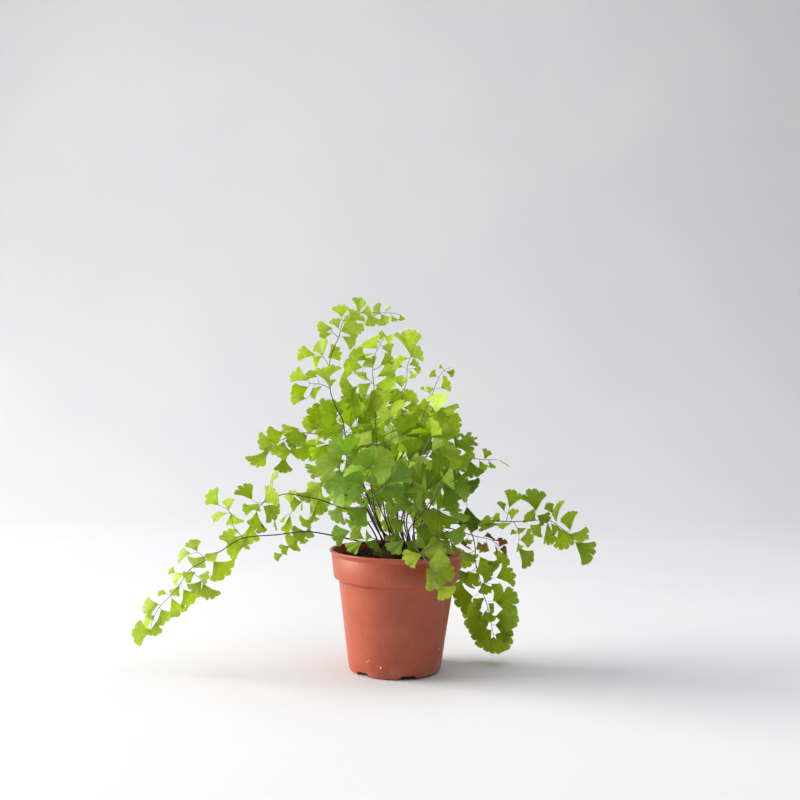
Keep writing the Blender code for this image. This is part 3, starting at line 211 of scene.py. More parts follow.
# One entry for each frond. A spot is (across, up, depth): what a viewer 780 mm in front of the
# pot and 201.5 mm above its foot sees that far across and up at the pot's axis, and how far
# behind the axis it is. root is where the stem leaves the crown, as (x, y). A leaflet is
# (across, up, heading, size, roll): where its stalk ends, the way it points, in degrees
# anticlockwise from the right, its length, and how far it is turned edge-on, 0 if left out.
Frond = collections.namedtuple("Frond", "root stem sides leaflets")
FRONDS = {
    "left_low": Frond(
        root=(-12, -8),
        stem=[
            (-16, 94, -12), (-29, 98, -14), (-49, 102, -15), (-71, 105, -16), (-94, 102, -16),
            (-120, 99, -16), (-135, 90, -18), (-149, 81, -20), (-162, 73, -20), (-168, 63, -20),
            (-176, 53, -21), (-185, 43, -22), (-189, 35, -22), (-191, 27, -22),
        ],
        sides=[
            [
                (-120, 98, -16), (-124, 103, -18), (-128, 108, -19), (-131, 119, -20),
                (-139, 124, -21),
            ],
            [(-149, 82, -20), (-155, 87, -18), (-160, 86, -16)],
            [(-162, 73, -20), (-157, 70, -22), (-152, 65, -24)],
        ],
        leaflets=[
            (-140, 124, 129, 13), (-132, 120, 98, 10), (-133, 118, 185, 12), (-130, 118, 275, 12),
            (-130, 93, 105, 12), (-139, 88, 215, 11), (-143, 80, 312, 16), (-156, 88, 118, 10, 35),
            (-161, 86, 180, 12), (-150, 84, 228, 13), (-173, 71, 150, 5), (-167, 70, 205, 11),
            (-157, 72, 215, 10), (-154, 69, 5, 9), (-152, 65, 235, 11), (-151, 63, 303, 14),
            (-166, 58, 300, 15), (-169, 61, 240, 9), (-179, 54, 150, 6), (-175, 51, 290, 15),
            (-185, 46, 190, 13), (-183, 42, 290, 13), (-188, 37, 210, 11), (-187, 32, 275, 10),
            (-191, 26, 192, 13),
        ],
    ),
    "left_mid": Frond(
        root=(-14, -2),
        stem=[
            (-17, 103, -6), (-25, 115, -8), (-37, 122, -8), (-47, 125, -8), (-61, 130, -8),
            (-72, 132, -8), (-84, 134, -8), (-92, 133, -8), (-105, 127, -8), (-110, 120, -8),
            (-114, 110, -9), (-117, 101, -9), (-120, 93, -10),
        ],
        sides=[
            [(-105, 127, -8), (-102, 132, -6), (-99, 138, -5), (-98, 143, -4)],
        ],
        leaflets=[
            (-114, 129, 115, 13), (-104, 127, 50, 13), (-105, 124, 335, 13), (-109, 126, 228, 10),
            (-110, 120, 268, 16, 65), (-114, 110, 265, 16, 50), (-117, 101, 222, 17, 65),
            (-120, 93, 205, 13, 65), (-106, 111, 275, 8), (-100, 138, 95, 11, 50),
            (-98, 144, 65, 8, 65), (-98, 118, 295, 12, 65), (-112, 122, 190, 9),
        ],
    ),
    "left_inner": Frond(
        root=(-11, 5),
        stem=[
            (-16, 109, 0), (-26, 127, 2), (-36, 137, 3), (-45, 143, 4), (-55, 143, 5),
            (-64, 137, 6), (-74, 130, 7), (-81, 123, 8), (-84, 118, 8),
        ],
        sides=[
            [
                (-64, 137, 6), (-62, 130, 4), (-65, 122, 2), (-68, 110, 0), (-76, 100, -2),
                (-84, 93, -3), (-90, 87, -4),
            ],
        ],
        leaflets=[
            (-58, 143, 202, 14), (-67, 137, 225, 12), (-60, 140, 252, 11), (-74, 130, 262, 9, 65),
            (-75, 128, 190, 9), (-83, 125, 110, 11, 65), (-84, 118, 263, 15, 65),
            (-86, 118, 228, 8, 65), (-65, 123, 182, 11), (-66, 119, 262, 13, 45),
            (-68, 113, 200, 9), (-69, 109, 268, 9), (-72, 105, 190, 11), (-74, 101, 285, 6),
            (-77, 99, 200, 11), (-79, 97, 262, 8), (-84, 93, 195, 8), (-89, 87, 205, 7),
            (-62, 130, 335, 9), (-62, 129, 285, 11),
        ],
    ),
    "left_upper": Frond(
        root=(-9, 10),
        stem=[
            (-15, 115, 12), (-27, 142, 15), (-37, 163, 18), (-48, 175, 20), (-60, 180, 21),
            (-74, 182, 22), (-85, 179, 22), (-96, 174, 21), (-102, 168, 20), (-107, 160, 20),
        ],
        sides=[
            [(-74, 182, 22), (-78, 173, 18), (-84, 168, 16), (-90, 164, 15)],
            [(-48, 175, 20), (-57, 172, 14), (-65, 170, 12)],
        ],
        leaflets=[
            (-78, 185, 190, 13, 50), (-90, 182, 200, 13, 65), (-54, 186, 185, 12, 50),
            (-65, 186, 183, 12, 50), (-59, 181, 190, 16), (-72, 180, 198, 16), (-79, 176, 215, 10),
            (-90, 175, 255, 11), (-96, 174, 190, 14), (-103, 168, 240, 16, 45),
            (-84, 167, 182, 16), (-90, 163, 268, 13), (-73, 171, 238, 11), (-65, 172, 218, 12, 50),
            (-58, 173, 238, 17, 65), (-46, 185, 150, 13),
        ],
    ),
    "top_left": Frond(
        root=(-7, -3),
        stem=[
            (-20, 123, 0), (-32, 154, 0), (-41, 177, 0), (-45, 194, 0), (-49, 200, 0),
            (-54, 213, 1), (-55, 219, 2), (-56, 229, 3), (-55, 241, 4), (-52, 250, 5),
            (-49, 257, 6), (-46, 269, 7), (-40, 276, 8), (-32, 277, 8), (-17, 277, 9),
            (-8, 277, 9), (-1, 276, 9),
        ],
        sides=[
            [(-55, 235, 3), (-60, 241, 2), (-66, 243, 0)],
            [(-55, 217, 2), (-61, 220, 0), (-72, 221, -3)],
            [(-49, 257, 6), (-54, 261, 4), (-57, 263, 2)],
        ],
        leaflets=[
            (-47, 273, 92, 10), (-40, 270, 48, 11), (-39, 269, 325, 11), (-54, 264, 168, 11),
            (-55, 260, 192, 9), (-49, 264, 112, 9), (-47, 262, 25, 13), (-46, 258, 328, 11),
            (-34, 277, 75, 11), (-32, 277, 10, 8), (-26, 277, 290, 11), (-17, 276, 130, 8),
            (-16, 276, 302, 9), (-13, 278, 45, 6), (-8, 275, 308, 6), (-1, 276, 285, 5, 45),
            (-61, 242, 105, 12), (-67, 243, 167, 13), (-62, 242, 215, 11), (-57, 241, 35, 12),
            (-58, 223, 95, 16), (-65, 226, 160, 9), (-61, 219, 208, 11), (-72, 223, 155, 14),
            (-72, 218, 198, 14), (-73, 209, 178, 12), (-55, 217, 80, 9), (-50, 204, 190, 12),
            (-48, 196, 186, 15), (-43, 207, 20, 13),
        ],
    ),
    "top_centre": Frond(
        root=(-2, 5),
        stem=[
            (-9, 115, 6), (-14, 146, 8), (-18, 178, 10), (-20, 210, 12), (-21, 223, 13),
            (-22, 232, 14), (-20, 245, 15), (-17, 251, 16), (-15, 255, 16), (-12, 259, 16),
        ],
        sides=[
            [(-21, 221, 13), (-28, 227, 6), (-36, 229, 2)],
            [(-20, 212, 12), (-27, 212, 8), (-34, 212, 5)],
            [(-22, 232, 14), (-16, 235, 18), (-12, 240, 20)],
        ],
        leaflets=[
            (-12, 259, 165, 6), (-17, 254, 150, 5), (-19, 249, 140, 13), (-22, 245, 188, 11),
            (-27, 240, 152, 13), (-30, 234, 172, 14), (-22, 234, 118, 9), (-38, 229, 180, 14),
            (-27, 230, 205, 11), (-23, 222, 215, 11), (-10, 251, 80, 9), (-8, 244, 110, 9),
            (-16, 236, 40, 11), (-18, 227, 28, 15), (-20, 220, 5, 16), (-20, 216, 335, 14),
            (-30, 210, 178, 16), (-34, 215, 160, 13), (-22, 207, 345, 16), (-23, 206, 195, 11),
        ],
    ),
    "top_right": Frond(
        root=(4, 6),
        stem=[
            (0, 115, 10), (1, 147, 15), (2, 174, 21), (2, 197, 27), (1, 213, 32), (4, 220, 35),
            (5, 226, 37), (5, 233, 39), (6, 239, 41), (8, 244, 42),
        ],
        sides=[
            [(2, 195, 27), (-5, 196, 21), (-11, 193, 17)],
        ],
        leaflets=[
            (8, 244, 95, 20), (7, 243, 35, 13), (6, 242, 190, 9), (2, 235, 160, 10),
            (1, 219, 95, 9), (7, 237, 15, 7), (10, 234, 345, 6), (8, 232, 285, 6),
            (3, 208, 45, 11), (3, 203, 5, 10), (1, 201, 215, 9), (-5, 196, 165, 13),
            (-9, 193, 215, 13), (0, 194, 250, 13), (4, 195, 300, 15), (2, 186, 205, 13),
            (6, 184, 330, 12),
        ],
    ),
    "right_tip": Frond(
        root=(8, 10),
        stem=[
            (5, 116, 20), (10, 147, 34), (13, 178, 48), (17, 193, 56), (20, 202, 60),
            (24, 210, 64), (27, 220, 68), (31, 229, 72), (35, 234, 74), (39, 235, 76),
        ],
        sides=[
            [(17, 192, 56), (24, 196, 50), (30, 201, 46)],
            [(5, 116, 20), (-3, 121, 27), (-12, 124, 33), (-20, 123, 37)],
        ],
        leaflets=[
            (28, 228, 145, 6), (36, 232, 345, 6), (33, 235, 165, 3), (32, 219, 35, 9),
            (23, 214, 92, 6), (19, 217, 140, 4, 65), (28, 199, 78, 17, 40), (31, 202, 20, 16),
            (30, 201, 232, 7), (13, 204, 12, 12), (19, 200, 268, 9), (27, 196, 318, 13),
            (36, 193, 350, 6), (22, 185, 60, 11), (15, 184, 160, 9), (-21, 123, 190, 17),
            (-13, 124, 118, 17), (-13, 123, 236, 17), (-4, 121, 262, 15), (-4, 122, 80, 17),
            (8, 124, 330, 16), (9, 131, 25, 16),
        ],
    ),
    "right_upper": Frond(
        root=(9, 2),
        stem=[
            (7, 116, 8), (15, 147, 12), (24, 171, 16), (32, 182, 18), (40, 186, 20), (47, 184, 22),
            (55, 179, 24),
        ],
        sides=[],
        leaflets=[
            (41, 187, 8, 6, 50), (41, 185, 300, 14, 50), (47, 183, 325, 8, 65),
            (55, 180, 15, 6, 65), (55, 178, 345, 7, 65), (32, 181, 60, 13), (33, 180, 320, 14),
            (24, 171, 120, 12), (24, 171, 10, 13), (19, 160, 170, 13), (20, 158, 330, 14),
        ],
    ),
    "right_mid": Frond(
        root=(12, -3),
        stem=[
            (13, 116, 2), (23, 135, 6), (31, 153, 9), (38, 163, 12), (46, 166, 14), (56, 165, 16),
            (65, 164, 18), (73, 164, 20), (77, 164, 20),
        ],
        sides=[],
        leaflets=[
            (35, 157, 20, 14), (46, 165, 345, 9), (56, 164, 65, 7), (63, 163, 300, 11),
            (67, 164, 72, 8), (70, 163, 310, 8, 45), (77, 164, 338, 10, 45), (29, 150, 150, 14),
            (31, 149, 325, 13), (23, 135, 165, 14),
        ],
    ),
    "right_dark": Frond(
        root=(14, 3),
        stem=[
            (18, 112, 2), (28, 132, -2), (38, 147, -4), (46, 156, -4), (53, 153, -3),
            (54, 145, -2), (53, 136, -1), (54, 127, 0),
        ],
        sides=[
            [(38, 147, -4), (42, 140, -10), (45, 130, -14), (45, 123, -16)],
        ],
        leaflets=[
            (56, 162, 285, 12), (47, 155, 262, 20), (54, 147, 325, 9), (52, 141, 290, 13),
            (46, 132, 215, 11), (42, 122, 318, 9), (54, 127, 278, 18), (36, 144, 310, 13),
            (38, 147, 200, 13),
        ],
    ),
    "right_arch": Frond(
        root=(16, -9),
        stem=[
            (21, 106, -8), (33, 112, -6), (49, 114, -4), (64, 114, -2), (74, 116, 0), (85, 116, 0),
            (92, 116, 0), (105, 117, 0), (117, 118, -2), (126, 113, -4), (134, 107, -6),
            (140, 100, -8),
        ],
        sides=[
            [(85, 116, 0), (86, 122, 2), (87, 127, 4)],
            [(91, 116, 0), (94, 110, -3), (95, 102, -5), (94, 95, -6)],
            [(105, 117, 0), (107, 121, 1), (108, 125, 2)],
        ],
        leaflets=[
            (87, 127, 70, 13), (83, 124, 105, 8), (89, 117, 85, 9), (80, 116, 135, 7),
            (108, 125, 95, 16), (109, 121, 335, 10), (108, 117, 150, 12), (112, 115, 235, 10),
            (121, 123, 118, 9, 50), (124, 116, 98, 16, 35), (135, 110, 103, 14),
            (117, 116, 278, 17, 35), (120, 115, 310, 8), (126, 112, 297, 17), (134, 107, 348, 15),
            (139, 101, 322, 17), (95, 95, 312, 16), (94, 111, 318, 9), (96, 102, 5, 10),
            (94, 99, 300, 6), (79, 114, 192, 16, 50), (89, 115, 205, 11, 50), (88, 106, 35, 5, 65),
            (63, 114, 20, 11, 50),
        ],
    ),
    "right_hanging": Frond(
        root=(15, -3),
        stem=[
            (22, 110, 4), (37, 118, 10), (50, 116, 16), (58, 106, 20), (61, 95, 22), (61, 85, 22),
            (64, 75, 22), (67, 62, 22), (71, 51, 22), (74, 39, 22), (76, 30, 21), (77, 26, 20),
        ],
        sides=[
            [(59, 93, 22), (52, 88, 30), (48, 84, 34)],
        ],
        leaflets=[
            (64, 75, 215, 10), (66, 75, 345, 9), (67, 68, 300, 10), (74, 67, 328, 13),
            (78, 72, 20, 14), (79, 83, 55, 10), (65, 88, 300, 13), (71, 84, 318, 9),
            (60, 57, 193, 16), (69, 56, 213, 11), (77, 54, 0, 18), (72, 52, 318, 9),
            (68, 44, 195, 17), (70, 46, 285, 9), (78, 42, 356, 18), (73, 38, 205, 17),
            (78, 35, 350, 16), (75, 31, 217, 16), (78, 28, 325, 15), (77, 26, 266, 17),
            (56, 75, 226, 15, 65), (54, 72, 238, 13, 65), (52, 92, 300, 13), (57, 91, 275, 9),
        ],
    ),
    "withered": Frond(
        root=(17, 3),
        stem=[
            (25, 108, 8), (39, 110, 8), (50, 107, 6), (61, 104, 4), (71, 102, 2), (79, 98, 0),
        ],
        sides=[],
        leaflets=[
            (51, 105, 262, 6, 40), (55, 102, 240, 6, 40), (68, 104, 25, 6, 40),
            (74, 101, 350, 6, 50), (76, 97, 325, 6, 50), (63, 100, 292, 7), (80, 96, 68, 7),
            (80, 94, 5, 6), (70, 99, 300, 7), (45, 107, 285, 8), (57, 106, 60, 7),
            (40, 108, 240, 9),
        ],
    ),
    "front_right": Frond(
        root=(8, -14),
        stem=[
            (8, 103, -30), (13, 96, -42), (18, 90, -50), (24, 83, -57), (28, 75, -61),
            (32, 66, -62),
        ],
        sides=[],
        leaflets=[
            (20, 89, 192, 15), (18, 90, 8, 20), (24, 82, 352, 16), (23, 78, 315, 18),
            (32, 75, 12, 13), (32, 65, 318, 13), (14, 95, 30, 13),
        ],
    ),
    "centre_front": Frond(
        root=(-1, -15),
        stem=[
            (-1, 108, -26), (-1, 119, -32), (1, 127, -36), (3, 133, -38),
        ],
        sides=[
            [(-1, 114, -28), (5, 114, -34), (11, 113, -38), (14, 109, -42)],
            [(1, 127, -36), (8, 126, -40), (14, 122, -43)],
            [(-2, 108, -26), (3, 103, -34), (5, 99, -40)],
        ],
        leaflets=[
            (3, 126, 192, 18), (5, 115, 196, 16), (4, 128, 332, 13), (14, 122, 345, 20),
            (14, 109, 350, 20), (5, 100, 222, 14), (7, 99, 325, 11), (0, 107, 255, 11),
            (3, 132, 120, 14), (5, 132, 50, 14),
        ],
    ),
    "centre_left": Frond(
        root=(-9, -10),
        stem=[
            (-18, 111, -16), (-26, 127, -28), (-33, 141, -38), (-40, 154, -48), (-41, 163, -54),
        ],
        sides=[
            [(-26, 126, -28), (-36, 124, -38), (-44, 125, -44)],
            [(-21, 115, -19), (-28, 112, -30), (-35, 107, -38)],
        ],
        leaflets=[
            (-42, 161, 185, 23), (-41, 152, 203, 20), (-41, 143, 226, 17), (-37, 157, 300, 20),
            (-40, 165, 140, 17), (-37, 132, 10, 16), (-44, 125, 242, 14), (-28, 125, 212, 12),
            (-26, 114, 215, 15), (-37, 106, 198, 14), (-41, 164, 75, 19), (-32, 140, 340, 14),
        ],
    ),
    "centre_low": Frond(
        root=(-4, -11),
        stem=[
            (-13, 99, -22), (-20, 101, -28), (-26, 100, -32),
        ],
        sides=[],
        leaflets=[
            (-27, 99, 218, 14), (-17, 100, 250, 13), (-20, 102, 160, 12), (-26, 100, 150, 11),
        ],
    ),
}

# The fronds of the plant's middle, which hide each other. Their leaflets follow a rule instead
# of a list: (root, stem, bare share of the stem, reach of the lowest side branch, leaflet size).
BUSHY_FRONDS = {
    "centre_mid": ((-3, -6), [(-15, 111, -10), (-22, 146, -12), (-29, 173, -12), (-34, 194, -10),
                              (-37, 205, -8)], 0.1, 23, 16),
    "centre_top": ((1, -8), [(-7, 115, -16), (-10, 150, -25), (-7, 178, -30), (-2, 197, -30)],
                   0.2, 23, 16),
    "centre_right": ((5, -9), [(3, 115, -22), (11, 145, -38), (18, 167, -50), (25, 181, -58)],
                     0.16, 26, 16),
    "right_front": ((9, -8), [(9, 108, -30), (19, 121, -54), (27, 134, -68), (33, 147, -78)],
                    0.16, 24, 16),
    "front_mid": ((-5, -14), [(-7, 109, -34), (-15, 127, -52), (-21, 142, -66), (-27, 154, -78)],
                  0.16, 24, 17),
    "low_right": ((11, -10), [(13, 105, -18), (25, 110, -22), (37, 108, -25), (46, 101, -26)],
                  0.2, 20, 14),
    "back_left": ((-6, 13), [(-18, 115, 30), (-34, 150, 50), (-42, 177, 68), (-47, 196, 84)],
                  0.08, 28, 16),
    "back_centre": ((0, 15), [(-7, 115, 32), (-10, 154, 54), (-14, 185, 76), (-16, 207, 96)],
                    0.06, 19, 16),
    "back_right": ((7, 14), [(3, 115, 34), (15, 151, 58), (26, 174, 82), (33, 190, 104)],
                   0.08, 28, 16),
    "middle": ((0, 2), [(-2, 112, 6), (2, 138, 10), (8, 160, 12), (14, 178, 12)],
               0.06, 26, 16),
}


def seen(across, up, depth):
    """The point behind a spot of the front view, at this depth behind the pot's axis."""
    spread = 1 + depth / EYE_DISTANCE
    return np.array([across * spread, depth, EYE_HEIGHT + (up - EYE_HEIGHT) * spread])


def unit(vector):
    return vector / max(np.linalg.norm(vector), 1e-9)


def smooth_path(points, steps):
    """A Catmull-Rom curve through the points, with this many steps between each two."""
    ends = [2 * points[0] - points[1], *points, 2 * points[-1] - points[-2]]
    curve = []
    for before, start, end, after in zip(ends, ends[1:], ends[2:], ends[3:]):
        for t in np.arange(steps) / steps:
            bend = (2 * before - 5 * start + 4 * end - after) * t
            twist = (3 * start - before - 3 * end + after) * t * t
            curve.append(start + 0.5 * t * (end - before + bend + twist))
    return np.array(curve + [points[-1]])


def crown_surface(x, y):
    """Height of the knobbly crown above (x, y), all in mm."""
    out = min((x * x + y * y) / (CROWN_RADIUS / MM) ** 2, 1)
    knobs = KNOB_HEIGHT * math.sin(KNOB_TURNS[0] * x + 1) * math.cos(KNOB_TURNS[1] * y) * (1 - out)
    base = (SOIL_TOP_HEIGHT + TOUCHING_GAP) / MM
    return base + CROWN_HEIGHT / MM * math.sqrt(1 - out) + knobs


class Branch:
    """A rachis or a side branch: its curve, and what leaves it and where."""

    def __init__(self, points):
        self.points = points
        steps = np.linalg.norm(np.diff(points, axis=0), axis=1)
        self.along = np.concatenate([[0], np.cumsum(steps)])
        self.length = self.along[-1]
        self.joins = []

    def at(self, s):
        return np.array([np.interp(s, self.along, self.points[:, k]) for k in range(3)])

    def tangent(self, s):
        ahead = self.at(min(s + 1, self.length))
        return unit(ahead - self.at(max(s - 1, 0)))

    def nearest(self, point):
        gaps = np.linalg.norm(self.points - point, axis=1)
        best = int(gaps.argmin())
        return self.along[best], gaps[best]


def bushy_frond(root, stem, bare, reach, size):
    """A frond set out by rule: side branches turn by turn left and right, shorter to the tip."""
    path = Branch(smooth_path([np.array(spot, float) for spot in stem], 6))
    sides = []
    leaflets = []
    for count, share in enumerate(np.arange(bare, 0.95, PINNA_SPACING / path.length)):
        turn = 1 if count % 2 else -1
        here = path.at(share * path.length)
        ahead = path.tangent(share * path.length)
        heading = math.degrees(math.atan2(ahead[1], ahead[0])) + PINNA_ANGLE * turn
        length = reach * (1.15 - share) ** 0.6
        angle = math.radians(heading)
        out = np.array([math.cos(angle), math.sin(angle), PINNA_RISE * turn])
        tip = here + length * out + np.array([0, -PINNA_DROOP * length, 0])
        middle = here + 0.5 * length * out
        sides.append([tuple(here), tuple(middle), tuple(tip)])
        leaflets.append((*middle[:2], heading + LEAFLET_ANGLE, 0.9 * size))
        leaflets.append((*middle[:2], heading - LEAFLET_ANGLE, size))
        leaflets.append((*tip[:2], heading, size))
    top = path.at(path.length)
    ahead = path.tangent(path.length)
    heading = math.degrees(math.atan2(ahead[1], ahead[0]))
    for turn in TIP_LEAFLET_ANGLES:
        leaflets.append((*top[:2], heading + turn, 0.9 * size))
    return Frond(root, stem, sides, leaflets)


Leaf = collections.namedtuple("Leaf", "branch join base heading normal size half_angle")


def frond_branches(frond):
    """The stem, from the crown to the frond's tip, and the side branches with their joins."""
    x, y = frond.root
    foot = np.array([x, y, crown_surface(x, y) + STEM_FOOT_LIFT])
    rise = foot + np.array([STEM_FOOT_SPREAD * x, STEM_FOOT_SPREAD * y, STEM_FOOT_RISE])
    stem = [foot, rise] + [seen(*spot) for spot in frond.stem]
    branches = [Branch(smooth_path(stem, 5))]
    for side in frond.sides:
        points = [seen(*spot) for spot in side]
        parent = min(branches, key=lambda branch: branch.nearest(points[0])[1])
        join = parent.nearest(points[0])[0]
        points[0] = parent.at(join)
        branch = Branch(smooth_path(points, 4))
        parent.joins.append((join, branch))
        branches.append(branch)
    return branches


def upper_side(base, listed):
    """The way a leaflet's upper side turns: to the light above and in front, or outwards."""
    if not listed:
        return unit(np.array([0.7 * base[0], base[1], 0]) / 60 + np.array([0, 0, 0.9]))
    return np.array(FACING_FRONT if base[2] < EYE_HEIGHT else FACING_BACK)


def leaf_facing(heading, guide, roll, lean):
    """The direction that a leaflet points and its upper side's normal."""
    turn = math.radians(heading)
    back = math.radians(lean)
    flat = np.array([math.cos(turn), 0, math.sin(turn)])
    forward = math.cos(back) * flat + math.sin(back) * np.array([0, 1, 0])
    normal = unit(guide - (guide @ forward) * forward)
    across = np.cross(normal, forward)
    angle = math.radians(roll)
    return forward, math.cos(angle) * normal + math.sin(angle) * across


def leaf_samples(leaf, clear_of_base):
    """Points about SAMPLE_SPACING apart all over the leaflet's fan."""
    across = np.cross(leaf.normal, leaf.heading)
    found = []
    for radius in np.arange(clear_of_base, leaf.size + 0.5, SAMPLE_SPACING):
        half = math.radians(leaf.half_angle)
        count = max(int(2 * half * radius / SAMPLE_SPACING) + 1, 2)
        angles = np.linspace(-half, half, count)[:, None]
        found.append(leaf.base + radius * (np.cos(angles) * leaf.heading + np.sin(angles) * across))
    return np.concatenate(found)


class Room:
    """A grid of 1 mm cells: the number of the frond that took each, SHARED if several did."""

    LOW = np.array([-230, -130, -10])
    SHAPE = (440, 280, 330)
    SHARED = 255

    def __init__(self):
        self.owner = np.zeros(self.SHAPE, np.uint8)

    def cells(self, points):
        return np.clip((points - self.LOW).round().astype(int), 0, np.array(self.SHAPE) - 1)

    def take(self, points, clearance, frond):
        reach = int(clearance) + 1
        ball = np.stack(np.meshgrid(*[np.arange(-reach, reach + 1)] * 3), -1).reshape(-1, 3)
        ball = ball[np.linalg.norm(ball, axis=1) <= clearance]
        cells = (self.cells(points)[:, None] + ball[None]).reshape(-1, 3)
        cells = tuple(np.clip(cells, 0, np.array(self.SHAPE) - 1).T)
        before = self.owner[cells]
        self.owner[cells] = np.where((before == 0) | (before == frond), frond, self.SHARED)

    def is_free(self, points, frond=0):
        """Whether nothing took these cells, or only this frond did."""
        owners = self.owner[tuple(self.cells(points).T)]
        return bool(((owners == 0) | (owners == frond)).all())


def pot_radius(z):
    """The pot's outer radius at height z, in mm, a little generous."""
    heights = np.array([0, SHOULDER_HEIGHT, BAND_FOOT_HEIGHT, POT_HEIGHT]) / MM
    radii = np.array([FOOT_RADIUS, SHOULDER_RADIUS, BAND_FOOT_RADIUS, LIP_RADIUS]) / MM
    return np.interp(z, heights, radii)


def clear_of_pot(points):
    """Whether every point is outside the pot, off the soil and above the floor."""
    radius = np.linalg.norm(points[:, :2], axis=1)
    z = points[:, 2]
    rim = POT_HEIGHT / MM + RIM_CLEARANCE
    beside = radius > pot_radius(z) + SIDE_CLEARANCE
    above_soil = (radius < OPEN_SOIL_RADIUS) & (z > OPEN_SOIL_HEIGHT)
    return bool(((beside | above_soil | (z > rim)) & (z > FLOOR_CLEARANCE)).all())


def attach_leaf(branches, row):
    """The branch and the place on it that a leaflet's stalk leaves, and where the stalk ends."""
    across, up = row[:2]
    best = None
    for branch in branches:
        flat = branch.points.copy()
        depth = flat[:, 1]
        spread = 1 + depth / EYE_DISTANCE
        flat = np.stack([flat[:, 0] / spread, EYE_HEIGHT + (flat[:, 2] - EYE_HEIGHT) / spread])
        gaps = np.hypot(flat[0] - across, flat[1] - up)
        place = int(gaps.argmin())
        if best is None or gaps[place] < best[0] - 0.3:
            best = (gaps[place], branch, place)
    gap, branch, place = best
    base = seen(across, up, branch.points[place][1])
    join = max(branch.along[place] - 0.6 * gap, 0.8)
    return branch, join, base


def stalk_samples(leaf):
    """Points along the stalk and over the narrow foot of the fan."""
    stalk = np.linspace(leaf.branch.at(leaf.join), leaf.base, 8)
    return np.concatenate([stalk, leaf_samples(leaf, 0.5)])


def place_leaf(branches, row, rooms, index, frond, listed):
    """The leaflet as near to its listed place as its neighbours allow, or None for a crowded one
    that was set out by rule."""
    branch, join, base = attach_leaf(branches, row)
    heading, size = row[2:4]
    roll = (row[4] if len(row) > 4 else 0) + ROLL_SPREAD * (GOLDEN_RATIO * index % 1 - 0.5)
    tilt = LEAN_SPREAD * (GOLDEN_RATIO * GOLDEN_RATIO * index % 1 - 0.5)
    size *= 1 + base[1] / EYE_DISTANCE
    guide = upper_side(base, listed)
    for shrink in LEAF_SHRINKS:
        for lean in LEAN_TRIES:
            for twist in TWIST_TRIES:
                forward, normal = leaf_facing(heading, guide, roll + twist, tilt + lean)
                leaf = Leaf(branch, join, base, forward, normal, size * shrink, LEAF_HALF_ANGLE)
                start = min(5, 0.45 * leaf.size)
                points = leaf_samples(leaf, start)
                free = clear_of_pot(points) and rooms[0].is_free(points)
                if free and rooms[1].is_free(stalk_samples(leaf), frond):
                    return leaf
    if not listed:
        return None
    forward, normal = leaf_facing(heading, guide, roll, 0)
    return Leaf(branch, join, base, forward, normal, size, LEAF_HALF_ANGLE)


def grow():
    """Every frond's branches and leaflets, in mm, each kept clear of the rest where it can be."""
    rooms = (Room(), Room())
    fronds = dict(FRONDS)
    fronds.update({name: bushy_frond(*rule) for name, rule in BUSHY_FRONDS.items()})
    plant = {name: [frond_branches(frond), []] for name, frond in fronds.items()}
    for number, (branches, _) in enumerate(plant.values(), 1):
        for branch in branches:
            steps = np.arange(0, branch.length, SAMPLE_SPACING)
            for room in rooms:
                room.take(np.array([branch.at(s) for s in steps]), STEM_CLEARANCE, number)
    for number, (name, frond) in enumerate(fronds.items(), 1):
        branches, leaves = plant[name]
        for index, row in enumerate(frond.leaflets):
            leaf = place_leaf(branches, row, rooms, index, number, name in FRONDS)
            if leaf is None:
                continue
            fan = leaf_samples(leaf, min(2.5, 0.4 * leaf.size))
            rooms[0].take(fan, LEAF_CLEARANCE, number)
            rooms[1].take(stalk_samples(leaf), LEAF_CLEARANCE, number)
            leaves.append(leaf)
    return plant


# ---- Meshes from whole arrays ----------------------------------------------------------------


def grid_quads(rows, columns, wrap=False):
    """Quads of a grid of points, row by row; with wrap, the last column joins the first."""
    across = columns if wrap else columns - 1
    row, column = np.meshgrid(np.arange(rows - 1), np.arange(across), indexing="ij")
    here = (row * columns + column).ravel()
    beside = (row * columns + (column + 1) % columns).ravel()
    return np.stack([here, here + columns, beside + columns, beside], axis=1)


def closed_grid(rows, sides):
    """Faces of rings that a point closes at each end: their quads, and both fans of triangles.

    The points are the rings, one after another, then the first and the last end.
    """
    here = np.arange(sides)
    beside = (here + 1) % sides
    low = (rows - 1) * sides
    first = np.stack([np.full(sides, rows * sides), here, beside], axis=1)
    last = np.stack([np.full(sides, rows * sides + 1), low + beside, low + here], axis=1)
    return grid_quads(rows, sides, wrap=True), np.concatenate([first, last])


